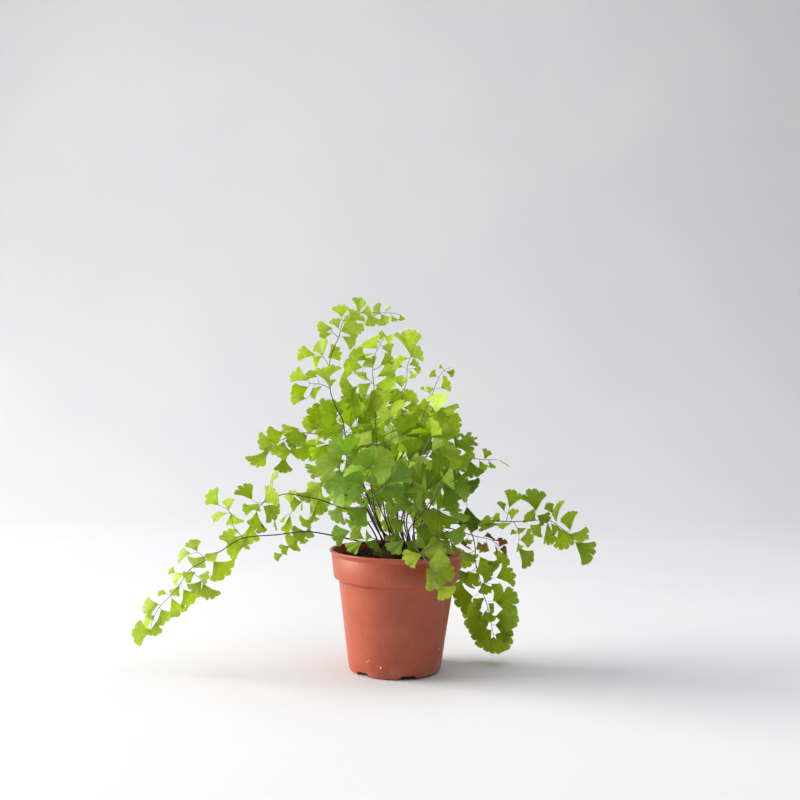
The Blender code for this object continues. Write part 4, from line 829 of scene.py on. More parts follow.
def add_piece(name, points, quads, material, triangles=(), corners=(), attributes=(), rim=None):
    """A mesh object at the origin from arrays of points in metres and of faces.

    corners is a (name, value for each point) pair that becomes a UV map; attributes are
    (name, kind, value for each point); rim marks the points whose common edges stay sharp.
    """
    quads = np.asarray(quads, np.int32).reshape(-1, 4)
    triangles = np.asarray(triangles, np.int32).reshape(-1, 3)
    loops = np.concatenate([quads.ravel(), triangles.ravel()])
    starts = np.concatenate([
        np.arange(len(quads)) * 4, 4 * len(quads) + np.arange(len(triangles)) * 3,
    ])
    mesh = bpy.data.meshes.new(name)
    mesh.vertices.add(len(points))
    mesh.vertices.foreach_set("co", np.asarray(points, np.float32).ravel())
    mesh.loops.add(len(loops))
    mesh.loops.foreach_set("vertex_index", loops.astype(np.int32))
    mesh.polygons.add(len(starts))
    mesh.polygons.foreach_set("loop_start", starts.astype(np.int32))
    mesh.update(calc_edges=True)
    mesh.polygons.foreach_set("use_smooth", np.ones(len(starts), bool))
    if corners:
        layer = mesh.uv_layers.new(name=corners[0])
        layer.uv.foreach_set("vector", np.asarray(corners[1], np.float32)[loops].ravel())
    for label, kind, values in attributes:
        layer = mesh.attributes.new(label, kind, "POINT")
        key = "color" if kind == "FLOAT_COLOR" else "value"
        layer.data.foreach_set(key, np.asarray(values, np.float32).ravel())
    if rim is not None:
        ends = np.empty(2 * len(mesh.edges), np.int32)
        mesh.edges.foreach_get("vertices", ends)
        ends = ends.reshape(-1, 2)
        sharp = mesh.attributes.new("sharp_edge", "BOOLEAN", "EDGE")
        sharp.data.foreach_set("value", rim[ends].all(axis=1))
    mesh.validate()
    mesh.materials.append(material)
    piece = bpy.data.objects.new(name, mesh)
    bpy.context.scene.collection.objects.link(piece)
    return piece


class Pile:
    """Arrays of many small shapes, gathered into one piece."""

    def __init__(self):
        self.points, self.quads, self.triangles = [], [], []
        self.values = collections.defaultdict(list)
        self.count = 0

    def add(self, points, quads, triangles=(), **values):
        """One shape. Each value is one number or row for the whole shape, or one for each point."""
        self.points.append(points)
        self.quads.append(np.asarray(quads, np.int64).reshape(-1, 4) + self.count)
        self.triangles.append(np.asarray(triangles, np.int64).reshape(-1, 3) + self.count)
        for name, value in values.items():
            value = np.asarray(value, float)
            if value.ndim == 0 or len(value) != len(points):
                value = np.broadcast_to(value, (len(points), *value.shape))
            self.values[name].append(value)
        self.count += len(points)

    def piece(self, name, material, corners=None, colours=(), numbers=(), rim=None):
        values = {key: np.concatenate(rows) for key, rows in self.values.items()}
        attributes = [(key, "FLOAT_COLOR", values[key]) for key in colours]
        attributes += [(key, "FLOAT", values[key]) for key in numbers]
        return add_piece(
            name, np.concatenate(self.points) * MM, np.concatenate(self.quads), material,
            np.concatenate(self.triangles), (corners, values[corners]) if corners else (),
            attributes, values[rim] > 0.5 if rim else None,
        )


def tube(points, radii, sides):
    """A ring of this radius at each point, in frames carried along the path without twisting.

    Both ends close in one point. Returns the points, the quads and the triangles.
    """
    ahead = np.gradient(points, axis=0)
    ahead /= np.linalg.norm(ahead, axis=1)[:, None] + 1e-9
    side = unit(np.cross(ahead[0], (0.3, 1, 0.2)))
    frames = []
    for direction in ahead:
        side = unit(side - (side @ direction) * direction)
        frames.append((side, np.cross(direction, side)))
    frames = np.array(frames)
    turn = np.arange(sides) * math.tau / sides
    ring = np.cos(turn)[:, None, None] * frames[:, 0] + np.sin(turn)[:, None, None] * frames[:, 1]
    ring = points[:, None] + np.asarray(radii)[:, None, None] * ring.transpose(1, 0, 2)
    skin = np.concatenate([ring.reshape(-1, 3), points[:1], points[-1:]])
    quads, caps = closed_grid(len(points), sides)
    return skin, quads[:, ::-1], caps[:, [0, 2, 1]]


def noise(places, cell, seed):
    """Smooth value noise from -1 to 1: random numbers at the corners of a lattice, blended between.

    places is an array of points in two or three dimensions, cell the lattice's spacing.
    """
    table = np.random.default_rng(seed).uniform(-1, 1, 4096)
    scaled = places / cell
    low = np.floor(scaled).astype(int)
    share = scaled - low
    share = share * share * (3 - 2 * share)
    primes = np.array([73856093, 19349663, 83492791])[: places.shape[-1]]
    total = 0
    for corner in itertools.product((0, 1), repeat=places.shape[-1]):
        weight = np.where(corner, share, 1 - share).prod(axis=-1)
        total = total + weight * table[((low + corner) * primes).sum(axis=-1) % 4096]
    return total


# ---- Materials -------------------------------------------------------------------------------


def linear(hex_colour):
    """An sRGB hex colour as the linear colour that a shader takes."""
    shares = [int(hex_colour[k : k + 2], 16) / 255 for k in (1, 3, 5)]
    return (*(c / 12.92 if c <= 0.04045 else ((c + 0.055) / 1.055) ** 2.4 for c in shares), 1)


def add_node(tree, kind, settings=(), out=0, **inputs):
    """Adds a node of this kind with its settings, and gives one of its output sockets.

    An input takes a value, or a socket to link from. It is named by its label with _ for a
    space, or by i and its number: i0, i1. out is the output's number or label.
    """
    made = tree.nodes.new(kind)
    for name, value in dict(settings).items():
        setattr(made, name, value)
    for name, value in inputs.items():
        numbered = name[0] == "i" and name[1:].isdigit()
        socket = made.inputs[int(name[1:]) if numbered else name.replace("_", " ")]
        if isinstance(value, bpy.types.NodeSocket):
            tree.links.new(value, socket)
        else:
            socket.default_value = value
    return made.outputs[out]


# Settings that several nodes share. A colour mix takes its share as i0 and its colours as i6
# and i7, and gives output 2. A smooth ramp carries i0 from i1..i2 to i3..i4, clamped.
COLOUR_MIX = {"data_type": "RGBA"}
COLOUR_PRODUCT = {"data_type": "RGBA", "blend_type": "MULTIPLY"}
SMOOTH = {"interpolation_type": "SMOOTHSTEP"}
TIMES = {"operation": "MULTIPLY"}
PLUS = {"operation": "ADD"}


def fineness(size):
    """The noise scale whose features are this many millimetres across."""
    return 1 / (size * MM)


def new_material(name):
    """An empty node material: its tree, its output's surface socket and Object coordinates."""
    material = bpy.data.materials.new(name)
    material.use_nodes = True
    tree = material.node_tree
    tree.nodes.clear()
    surface = tree.nodes.new("ShaderNodeOutputMaterial").inputs["Surface"]
    return material, tree, surface, add_node(tree, "ShaderNodeTexCoord", out="Object")


def leaf_material(name, veins_pale, shine):
    """Living fern leaflet: a thin waxy blade that glows where light comes through it.

    The colour of each leaflet is its own attribute; fine forked veins run out to the margin.
    """
    material, tree, surface, where = new_material(name)
    own = add_node(
        tree, "ShaderNodeAttribute", {"attribute_name": "leaflet_colour"}, out="Color"
    )
    place = add_node(tree, "ShaderNodeUVMap", {"uv_map": "fan"})
    angle = add_node(tree, "ShaderNodeSeparateXYZ", i0=place)
    radius = angle.node.outputs[1]
    lines = []
    for count in (VEINS_INNER, 2 * VEINS_INNER):
        phase = add_node(tree, "ShaderNodeMath", TIMES, i0=angle, i1=count)
        wave = add_node(tree, "ShaderNodeMath", {"operation": "SINE"}, i0=phase)
        wave = add_node(tree, "ShaderNodeMath", {"operation": "ABSOLUTE"}, i0=wave)
        lines.append(add_node(
            tree, "ShaderNodeMapRange", SMOOTH, i0=wave, i1=0.0, i2=VEIN_WIDTH, i3=1.0, i4=0.0
        ))
    outer = add_node(tree, "ShaderNodeMapRange", SMOOTH, i0=radius, i1=0.3, i2=0.6)
    forks = add_node(tree, "ShaderNodeMath", TIMES, i0=lines[1], i1=outer)
    vein = add_node(tree, "ShaderNodeMath", {"operation": "MAXIMUM"}, i0=lines[0], i1=forks)
    off_foot = add_node(tree, "ShaderNodeMapRange", SMOOTH, i0=radius, i1=0.05, i2=0.3)
    vein = add_node(tree, "ShaderNodeMath", TIMES, i0=vein, i1=off_foot)
    mottle = add_node(
        tree, "ShaderNodeTexNoise", Vector=where, Scale=fineness(MOTTLE_SIZE), Detail=3.0
    )
    dark = add_node(
        tree, "ShaderNodeMix", COLOUR_PRODUCT, 2, i0=1.0, i6=own, i7=linear(LEAF_SHADE)
    )
    shaded = add_node(
        tree, "ShaderNodeMapRange", SMOOTH, i0=mottle, i1=0.35, i2=0.7, i3=0.0, i4=0.3
    )
    base = add_node(tree, "ShaderNodeMix", COLOUR_MIX, 2, i0=shaded, i6=own, i7=dark)
    foot = add_node(
        tree, "ShaderNodeMapRange", SMOOTH, i0=radius, i1=0.02, i2=0.5, i3=0.5, i4=0.0
    )
    base = add_node(tree, "ShaderNodeMix", COLOUR_MIX, 2, i0=foot, i6=base, i7=dark)
    paler = add_node(tree, "ShaderNodeMath", TIMES, i0=vein, i1=VEIN_PALENESS)
    base = add_node(tree, "ShaderNodeMix", COLOUR_MIX, 2, i0=paler, i6=base, i7=veins_pale)
    scorched = add_node(
        tree, "ShaderNodeAttribute", {"attribute_name": "scorch"}, out="Fac"
    )
    ragged = add_node(tree, "ShaderNodeMath", TIMES, i0=mottle, i1=0.3)
    ragged = add_node(tree, "ShaderNodeMath", PLUS, i0=radius, i1=ragged)
    edge = add_node(tree, "ShaderNodeMapRange", SMOOTH, i0=ragged, i1=1.08, i2=1.2)
    burnt = add_node(tree, "ShaderNodeMath", TIMES, i0=scorched, i1=edge)
    base = add_node(
        tree, "ShaderNodeMix", COLOUR_MIX, 2, i0=burnt, i6=base, i7=linear(SCORCHED_EDGE)
    )
    dents = add_node(tree, "ShaderNodeMath", TIMES, i0=mottle, i1=0.8)
    relief = add_node(
        tree, "ShaderNodeMath", {"operation": "SUBTRACT"}, i0=vein, i1=dents
    )
    bump = add_node(tree, "ShaderNodeBump", Strength=0.35, Distance=0.00012, Height=relief)
    face = add_node(
        tree, "ShaderNodeBsdfPrincipled", Base_Color=base, Roughness=shine, IOR=1.45,
        Normal=bump, Specular_IOR_Level=0.25,
    )
    through = add_node(
        tree, "ShaderNodeMix", COLOUR_PRODUCT, 2, i0=1.0, i6=base, i7=linear(LIGHT_THROUGH)
    )
    glow = add_node(tree, "ShaderNodeBsdfTranslucent", Color=through, Normal=bump)
    both = add_node(tree, "ShaderNodeMixShader", i0=LEAF_TRANSLUCENCE, i1=face, i2=glow)
    tree.links.new(both, surface)
    return material


def stem_material():
    """Wiry fern stem: a hard polished skin, black-purple where old and pinkish brown at the tip."""
    material, tree, surface, where = new_material("polished_fern_stem")
    young = add_node(tree, "ShaderNodeAttribute", {"attribute_name": "young"}, out="Fac")
    streak = add_node(
        tree, "ShaderNodeTexNoise", Vector=where, Scale=fineness(STREAK_SIZE), Detail=2.0
    )
    share = add_node(tree, "ShaderNodeMapRange", SMOOTH, i0=streak, i1=0.4, i2=0.7)
    old = add_node(
        tree, "ShaderNodeMix", COLOUR_MIX, 2, i0=share, i6=linear("#2b1a1e"), i7=linear("#453038")
    )
    fresh = add_node(tree, "ShaderNodeMapRange", SMOOTH, i0=young, i1=0.35, i2=1.0)
    skin = add_node(
        tree, "ShaderNodeMix", COLOUR_MIX, 2, i0=fresh, i6=old, i7=linear("#8d6b6c")
    )
    shader = add_node(
        tree, "ShaderNodeBsdfPrincipled", Base_Color=skin, Roughness=0.34, IOR=1.5,
        Specular_IOR_Level=0.5,
    )
    tree.links.new(shader, surface)
    return material


def pot_material():
    """Injection-moulded polypropylene, terracotta-pigmented: satin, with a faint waxy ripple.

    Dust and dried splashes gather near the foot, and handling leaves fine pale scuffs.
    """
    material, tree, surface, where = new_material("moulded_polypropylene")
    height = add_node(tree, "ShaderNodeSeparateXYZ", out=2, i0=where)
    cloud = add_node(
        tree, "ShaderNodeTexNoise", Vector=where, Scale=fineness(POT_CLOUD_SIZE), Detail=4.0,
        Roughness=0.6,
    )
    grain = add_node(
        tree, "ShaderNodeTexNoise", Vector=where, Scale=fineness(POT_GRAIN_SIZE), Detail=2.0
    )
    # A scuff is a thin line, so its pattern is stretched along one slanting direction.
    long_way = add_node(
        tree, "ShaderNodeMapping", Vector=where, Rotation=(0.4, 0.3, 0.9), Scale=(1.0, 1.0, 0.06)
    )
    scuff = add_node(
        tree, "ShaderNodeTexNoise", Vector=long_way, Scale=fineness(SCUFF_SIZE), Detail=1.0
    )
    deep = add_node(tree, "ShaderNodeMapRange", SMOOTH, i0=cloud, i1=0.3, i2=0.7)
    colour = add_node(
        tree, "ShaderNodeMix", COLOUR_MIX, 2, i0=deep, i6=linear(POT_DEEP), i7=linear(POT_PALE)
    )
    rubbed = add_node(
        tree, "ShaderNodeMapRange", SMOOTH, i0=scuff, i1=0.72, i2=0.8, i3=0.0, i4=0.25
    )
    colour = add_node(
        tree, "ShaderNodeMix", COLOUR_MIX, 2, i0=rubbed, i6=colour, i7=linear(SCUFFED)
    )
    low = add_node(
        tree, "ShaderNodeMapRange", SMOOTH, i0=height, i1=0.0, i2=DUST_HEIGHT * MM, i3=1.0,
        i4=0.0,
    )
    patches = add_node(tree, "ShaderNodeMapRange", SMOOTH, i0=cloud, i1=0.35, i2=0.75)
    dust = add_node(tree, "ShaderNodeMath", TIMES, i0=low, i1=patches)
    dust = add_node(tree, "ShaderNodeMath", TIMES, i0=dust, i1=0.35)
    colour = add_node(
        tree, "ShaderNodeMix", COLOUR_MIX, 2, i0=dust, i6=colour, i7=linear(DUSTY)
    )
    rough = add_node(
        tree, "ShaderNodeMapRange", SMOOTH, i0=cloud, i1=0.2, i2=0.8, i3=0.36, i4=0.5
    )
    ripple = add_node(tree, "ShaderNodeMath", TIMES, i0=grain, i1=0.25)
    ripple = add_node(tree, "ShaderNodeMath", PLUS, i0=ripple, i1=cloud)
    bump = add_node(tree, "ShaderNodeBump", Strength=0.25, Distance=0.0003, Height=ripple)
    shader = add_node(
        tree, "ShaderNodeBsdfPrincipled", Base_Color=colour, Roughness=rough, IOR=1.49,
        Normal=bump, Specular_IOR_Level=0.5,
    )
    tree.links.new(shader, surface)
    return material


def rough_material(name, dark, pale, size, roughness=0.95, depth=0.0006):
    """A matte, crumbly or fibrous material: two colours in patches of this size, with relief.

    size is in millimetres, and depth, how high the relief stands, in metres.
    """
    material, tree, surface, where = new_material(name)
    cloud = add_node(
        tree, "ShaderNodeTexNoise", Vector=where, Scale=fineness(size), Detail=6.0, Roughness=0.7
    )
    share = add_node(tree, "ShaderNodeMapRange", SMOOTH, i0=cloud, i1=0.38, i2=0.68)
    colour = add_node(
        tree, "ShaderNodeMix", COLOUR_MIX, 2, i0=share, i6=linear(dark), i7=linear(pale)
    )
    bump = add_node(tree, "ShaderNodeBump", Strength=0.8, Distance=depth, Height=cloud)
    shader = add_node(
        tree, "ShaderNodeBsdfPrincipled", Base_Color=colour, Roughness=roughness, IOR=1.4,
        Normal=bump, Specular_IOR_Level=0.25,
    )
    tree.links.new(shader, surface)
    return material


# ---- The pot ---------------------------------------------------------------------------------


def arc(centre_r, centre_z, radius, start, end, steps=5):
    """Profile points on a circle, from the start angle to the end angle in degrees."""
    turn = np.radians(np.linspace(start, end, steps))
    return [(centre_r + radius * math.cos(a), centre_z + radius * math.sin(a)) for a in turn]


def pot_profile():
    """The pot's whole outline (radius, height), up its inside, over the lip and down its outside.

    The lip is a rounded bead; a fine stacking line, the band, its rounded foot and the shoulder
    follow, then the tapered wall and the rounded foot ring.
    """
    bead = LIP_DEPTH / 2
    inner = BAND_TOP_RADIUS - POT_WALL
    floor = PLATE_LIFT + POT_WALL
    slope = (SHOULDER_RADIUS - FOOT_RADIUS) / SHOULDER_HEIGHT
    band_slope = (BAND_TOP_RADIUS - BAND_FOOT_RADIUS) / (POT_HEIGHT - LIP_DEPTH - BAND_FOOT_HEIGHT)
    line = POT_HEIGHT - STACKING_LINE_DEPTH
    line_radius = BAND_TOP_RADIUS - band_slope * (STACKING_LINE_DEPTH - LIP_DEPTH)
    inside = [
        (0.0, POT_WALL),
        (FOOT_DISC_RADIUS - 0.0014, POT_WALL),
        (FOOT_DISC_RADIUS - 0.0002, floor),
        (FOOT_RADIUS + slope * floor - POT_WALL - 0.001, floor),
        (FOOT_RADIUS + slope * floor - POT_WALL, floor + 0.001),
        (SHOULDER_RADIUS - POT_WALL - 0.0002, SHOULDER_HEIGHT),
        (SHOULDER_RADIUS - POT_WALL, SHOULDER_HEIGHT + 0.0008),
        (BAND_FOOT_RADIUS - POT_WALL - 0.0002, BAND_FOOT_HEIGHT + 0.0004),
        (BAND_FOOT_RADIUS - POT_WALL, BAND_FOOT_HEIGHT + 0.001),
        (inner - band_slope * 0.004, POT_HEIGHT - 0.0055),
        (inner, POT_HEIGHT - 0.0012),
        (inner + 0.0002, POT_HEIGHT - 0.0003),
        (inner + 0.0006, POT_HEIGHT),
    ]
    lip = arc(LIP_RADIUS - bead, POT_HEIGHT - bead, bead, 90, -70, 9)
    band = [
        (BAND_TOP_RADIUS + 0.0001, POT_HEIGHT - LIP_DEPTH - 0.0004),
        (line_radius, line + 0.0003),
        (line_radius - 0.00018, line),
        (line_radius, line - 0.0003),
        (BAND_FOOT_RADIUS + 0.0003, BAND_FOOT_HEIGHT + 0.003),
    ]
    band_foot = arc(BAND_FOOT_RADIUS - 0.0006, BAND_FOOT_HEIGHT + 0.0002, 0.0006, 0, -60, 4)
    shoulder = [
        (BAND_FOOT_RADIUS - 0.0016, BAND_FOOT_HEIGHT - 0.0009),
        (SHOULDER_RADIUS + 0.0006, SHOULDER_HEIGHT + 0.0004),
        (SHOULDER_RADIUS + 0.0001, SHOULDER_HEIGHT - 0.0001),
        (SHOULDER_RADIUS - 0.0002, SHOULDER_HEIGHT - 0.0012),
    ]
    wall = [
        (FOOT_RADIUS + slope * z, z) for z in np.linspace(SHOULDER_HEIGHT - 0.006, 0.0045, 7)
    ]
    foot = arc(FOOT_RADIUS - FOOT_ROUNDING, FOOT_ROUNDING, FOOT_ROUNDING, 0, -90, 5)
    underside = [
        (FOOT_RING_INNER_RADIUS + 0.0002, 0.0),
        (FOOT_RING_INNER_RADIUS - 0.0002, 0.0004),
        (FOOT_RING_INNER_RADIUS - 0.0005, PLATE_LIFT),
        (FOOT_DISC_RADIUS + 0.0012, PLATE_LIFT),
        (FOOT_DISC_RADIUS, 0.0003),
        (FOOT_DISC_RADIUS - 0.0003, 0.0),
        (0.0, 0.0),
    ]
    return np.array(inside + lip + band + band_foot + shoulder + wall + foot + underside)


def turned_points(profile, steps):
    """The profile's points swept round Z: row k holds the profile's point k at every angle.

    The angle runs from the front towards +X.
    """
    turn = np.radians(np.arange(steps) * 360 / steps)
    way = np.stack([np.sin(turn), -np.cos(turn)], axis=1)
    tall = np.broadcast_to(profile[:, 1, None], (len(profile), steps))
    return np.dstack([profile[:, 0, None, None] * way[None], tall])


def closed_turning(profile, steps):
    """Points and faces of a turned body whose profile starts and ends on the axis."""
    points = turned_points(profile[1:-1], steps)
    ends = np.array([[0, 0, profile[0, 1]], [0, 0, profile[-1, 1]]])
    return np.concatenate([points.reshape(-1, 3), ends]), *closed_grid(len(profile) - 2, steps)


def notch_lift(points):
    """How high the foot ring is cut away at each point: flat in a notch, sloping at its sides."""
    angle = np.degrees(np.arctan2(points[:, 0], -points[:, 1]))
    pitch = 360 / NOTCHES
    offset = (angle - NOTCH_FIRST_ANGLE + pitch / 2) % pitch - pitch / 2
    beside = np.abs(np.radians(offset)) * FOOT_RADIUS
    share = np.clip((NOTCH_WIDTH / 2 - beside) / NOTCH_SLOPE + 0.5, 0, 1)
    return NOTCH_HEIGHT * share


def make_pot(material):
    """The pot as one turned shell, its foot ring lifted at the notches, with drain holes."""
    points, quads, triangles = closed_turning(pot_profile(), POT_TURN_STEPS)
    radius = np.hypot(points[:, 0], points[:, 1])
    low_ring = (radius > FOOT_RING_INNER_RADIUS - 0.0004) & (points[:, 2] < NOTCH_HEIGHT)
    lift = np.maximum(points[:, 2], notch_lift(points) + 0.12 * points[:, 2])
    points[:, 2] = np.where(low_ring, lift, points[:, 2])
    pot = add_piece("nursery_pot", points, quads, material, triangles)
    tool = bmesh.new()
    for index in range(NOTCHES):
        turn = math.radians(NOTCH_FIRST_ANGLE + (index + 0.5) * 360 / NOTCHES)
        place = Vector((math.sin(turn), -math.cos(turn), 0)) * DRAIN_HOLE_CIRCLE
        bmesh.ops.create_cone(
            tool, cap_ends=True, segments=24, radius1=DRAIN_HOLE_RADIUS,
            radius2=DRAIN_HOLE_RADIUS, depth=DRAIN_CUTTER_DEPTH,
            matrix=Matrix.Translation(place + Vector((0, 0, DRAIN_CUTTER_HEIGHT))),
        )
    cutter_mesh = bpy.data.meshes.new("drain_cutter")
    tool.to_mesh(cutter_mesh)
    tool.free()
    cutter = bpy.data.objects.new("drain_cutter", cutter_mesh)
    bpy.context.scene.collection.objects.link(cutter)
    drain = pot.modifiers.new("Drain", "BOOLEAN")
    drain.object = cutter
    drain.solver = "EXACT"
    graph = bpy.context.evaluated_depsgraph_get()
    pot_mesh = bpy.data.meshes.new_from_object(pot.evaluated_get(graph))
    pot.modifiers.clear()
    pot.data = pot_mesh
    bpy.data.objects.remove(cutter)
    return pot


# ---- Soil and rhizome ------------------------------------------------------------------------


def soil_height(places):
    """Height of the peat's surface, in metres, at points given in metres: a low mound of crumbs.

    Three sizes of value noise, with the finest one sharpened, stand on the CAD's soil surface.
    """
    radius = np.linalg.norm(places, axis=1)
    heights = [SOIL_TOP_HEIGHT, SOIL_TOP_HEIGHT - 0.0006, SOIL_EDGE_HEIGHT]
    ground = np.interp(radius, [CROWN_RADIUS, 0.036, 0.05], heights)
    swell = 0.0009 * noise(places, 0.014, 3) + 0.0006 * noise(places, 0.005, 4)
    crumbs = 0.0006 * np.abs(noise(places, 0.0022, 5))
    return ground + swell + crumbs - 0.0006


def make_soil(peat):
    """The peat: a polar grid under the crumbled surface, closed by the pot's inner form."""
    edge = BAND_TOP_RADIUS - POT_WALL - SOIL_GAP - 0.0006
    bottom = PLATE_LIFT + POT_WALL + SOIL_GAP
    radii = np.linspace(0.0012, edge, SOIL_RINGS)
    top = turned_points(np.stack([radii, 0 * radii], axis=1), SOIL_TURN_STEPS)
    top[..., 2] = soil_height(top[..., :2].reshape(-1, 2)).reshape(top.shape[:2])
    side = turned_points(np.array([
        (BAND_FOOT_RADIUS - POT_WALL - SOIL_GAP, BAND_FOOT_HEIGHT + 0.001),
        (SHOULDER_RADIUS - POT_WALL - SOIL_GAP, SHOULDER_HEIGHT),
        (FOOT_RADIUS - POT_WALL - SOIL_GAP + 0.0003, bottom),
        (0.012, bottom),
    ]), SOIL_TURN_STEPS)
    grid = np.concatenate([top, side])
    ends = np.array([[0, 0, soil_height(np.zeros((1, 2)))[0]], [0, 0, bottom]])
    quads, caps = closed_grid(len(grid), SOIL_TURN_STEPS)
    return add_piece("peat", np.concatenate([grid.reshape(-1, 3), ends]), quads, peat, caps)


def lump(centre, radii, seed):
    """A crumb: a coarse ball whose radius varies with value noise, squashed to three radii."""
    rings, sides = 5, 8
    polar = np.linspace(0, math.pi, rings + 2)[1:-1]
    turn = np.arange(sides) * math.tau / sides
    ball = np.stack([
        np.outer(np.sin(polar), np.cos(turn)),
        np.outer(np.sin(polar), np.sin(turn)),
        np.outer(np.cos(polar), np.ones(sides)),
    ], axis=-1).reshape(-1, 3)
    ball = np.concatenate([ball, [[0, 0, 1], [0, 0, -1]]])
    ball *= 1 + 0.3 * noise(ball + seed * 7.3, 0.8, 11)[:, None]
    return centre + ball * radii, *closed_grid(rings, sides)


def scatter_soil(peat, fibre, perlite):
    """Crumbs, short fibres and a few perlite grains lying on the peat."""
    draw = np.random.default_rng(41)
    crumbs, grains, straws = Pile(), Pile(), Pile()
    for index in range(CRUMBS):
        reach = 0.0465 * math.sqrt(draw.uniform(0.03, 1))
        turn = draw.uniform(0, math.tau)
        place = np.array([[reach * math.cos(turn), reach * math.sin(turn)]])
        size = draw.uniform(0.35, 1.0) ** 2 * 1.7 + 0.35
        high = soil_height(place)[0] / MM + 0.25 * size
        radii = size * draw.uniform(0.6, 1.1, 3)
        pile = crumbs
        if index % CRUMBS_FOR_A_PERLITE_GRAIN == 0:
            pile, radii = grains, 0.6 * radii
        pile.add(*lump(np.array([*(place[0] / MM), high]), radii, index))
    for _ in range(FIBRES):
        reach = 44 * math.sqrt(draw.uniform(0.05, 1))
        turn = draw.uniform(0, math.tau)
        start = np.array([reach * math.cos(turn), reach * math.sin(turn)])
        way = draw.uniform(0, math.tau)
        bend = draw.uniform(-0.25, 0.25)
        along = np.linspace(0, draw.uniform(4, 10), 7)
        turned = way + bend * along
        flat = start + np.stack([along * np.cos(turned), along * np.sin(turned)], axis=1)
        flat *= np.minimum(1, 46.5 / np.linalg.norm(flat, axis=1))[:, None]
        high = soil_height(flat * MM) / MM + 0.45 + 0.3 * np.sin(along)
        straws.add(*tube(np.column_stack([flat, high]), np.full(7, FIBRE_RADIUS), 5))
    return [
        crumbs.piece("peat_crumbs", peat), grains.piece("perlite_grains", perlite),
        straws.piece("peat_fibres", fibre),
    ]


def around(angle):
    """The way that this angle points, in degrees from the front towards +X, as (x, y)."""
    turn = math.radians(angle)
    return np.array([math.sin(turn), -math.cos(turn)])


def splash_marks(peat, perlite):
    """What watering left on the pot: grains of perlite low on its front, and crumbs all over."""
    draw = np.random.default_rng(57)
    white, dark = Pile(), Pile()
    slope = (SHOULDER_RADIUS - FOOT_RADIUS) / SHOULDER_HEIGHT
    marks = [(white, angle, high, size) for angle, high, size in PERLITE_SPLASHES]
    for _ in range(WALL_CRUMBS):
        high = 66 * draw.uniform(0.03, 1) ** 2
        marks.append((dark, draw.uniform(-180, 180), high, draw.uniform(0.12, 0.3)))
    for number, (pile, angle, high, size) in enumerate(marks):
        reach = FOOT_RADIUS / MM + slope * high + 0.1 * size
        place = np.array([*(around(angle) * reach), high])
        pile.add(*lump(place, size * draw.uniform(0.7, 1.2, 3), number))
    for number in range(RIM_CRUMBS):
        place = np.array([*(around(draw.uniform(0, 360)) * 51.9), POT_HEIGHT / MM])
        dark.add(*lump(place, draw.uniform(0.15, 0.45) * draw.uniform(0.7, 1.2, 3), 90 + number))
    return [dark.piece("peat_splashes", peat), white.piece("perlite_splashes", perlite)]


def make_rhizome(material):
    """The creeping rhizome: the CAD's knobbly dome with scales, and stubs of old stems."""
    reach = CROWN_RADIUS / MM
    near_edge = reach * np.sqrt([0.87, 0.93, 0.975, 1])
    rings = np.concatenate([np.linspace(0.6, reach * 0.9, 22), near_edge])
    turn = np.arange(RHIZOME_TURN_STEPS) * math.tau / RHIZOME_TURN_STEPS
    x, y = np.outer(rings, np.cos(turn)), np.outer(rings, np.sin(turn))
    flat = np.stack([x.ravel(), y.ravel()], axis=1)
    high = np.array([crown_surface(a, b) for a, b in flat])
    out = np.clip(1 - (flat ** 2).sum(axis=1) / reach ** 2, 0, 1)
    scales = 0.55 * np.abs(noise(flat, 1.7, 21)) + 0.5 * noise(flat, 3.4, 22)
    top = np.column_stack([flat, high + scales * np.sqrt(out)])
    base = (SOIL_TOP_HEIGHT - 0.0004) / MM
    skirt = np.column_stack([flat[-len(turn):], np.full(len(turn), base)])
    ends = np.array([[0, 0, crown_surface(0, 0)], [0, 0, base]])
    pile = Pile()
    pile.add(np.concatenate([top, skirt, ends]), *closed_grid(len(rings) + 1, len(turn)))
    draw = np.random.default_rng(8)
    for _ in range(OLD_STUBS):
        turn, far = draw.uniform(0, math.tau), draw.uniform(2, 15)
        foot = np.array([far * math.cos(turn), far * math.sin(turn)])
        base = np.array([*foot, crown_surface(*foot) - 0.8])
        lean = np.array([*draw.uniform(-0.35, 0.35, 2), 1.0])
        path = base + np.outer(np.linspace(0, draw.uniform(2.5, 6), 4), lean)
        pile.add(*tube(path, np.linspace(0.75, 0.5, 4), 7))
    return pile.piece("rhizome_crown", material)


# ---- The plant -------------------------------------------------------------------------------


def leaflet_faces(lobes):
    """Faces of a leaflet's closed skin, its two sides joined along the margin.

    The upper side is a grid of LEAF_ROWS by the lobes' columns. The under side has its own
    points only inside the margin.
    """
    columns = len(LOBE_STEPS) * lobes + 1
    rows = len(LEAF_ROWS)
    upper = np.arange(rows * columns).reshape(rows, columns)
    under = upper.copy()
    inner = under[1:-1, 1:-1]
    under[1:-1, 1:-1] = rows * columns + np.arange(inner.size).reshape(inner.shape)
    quads = grid_quads(rows, columns)
    return np.concatenate([quads, under.ravel()[quads][:, ::-1]])


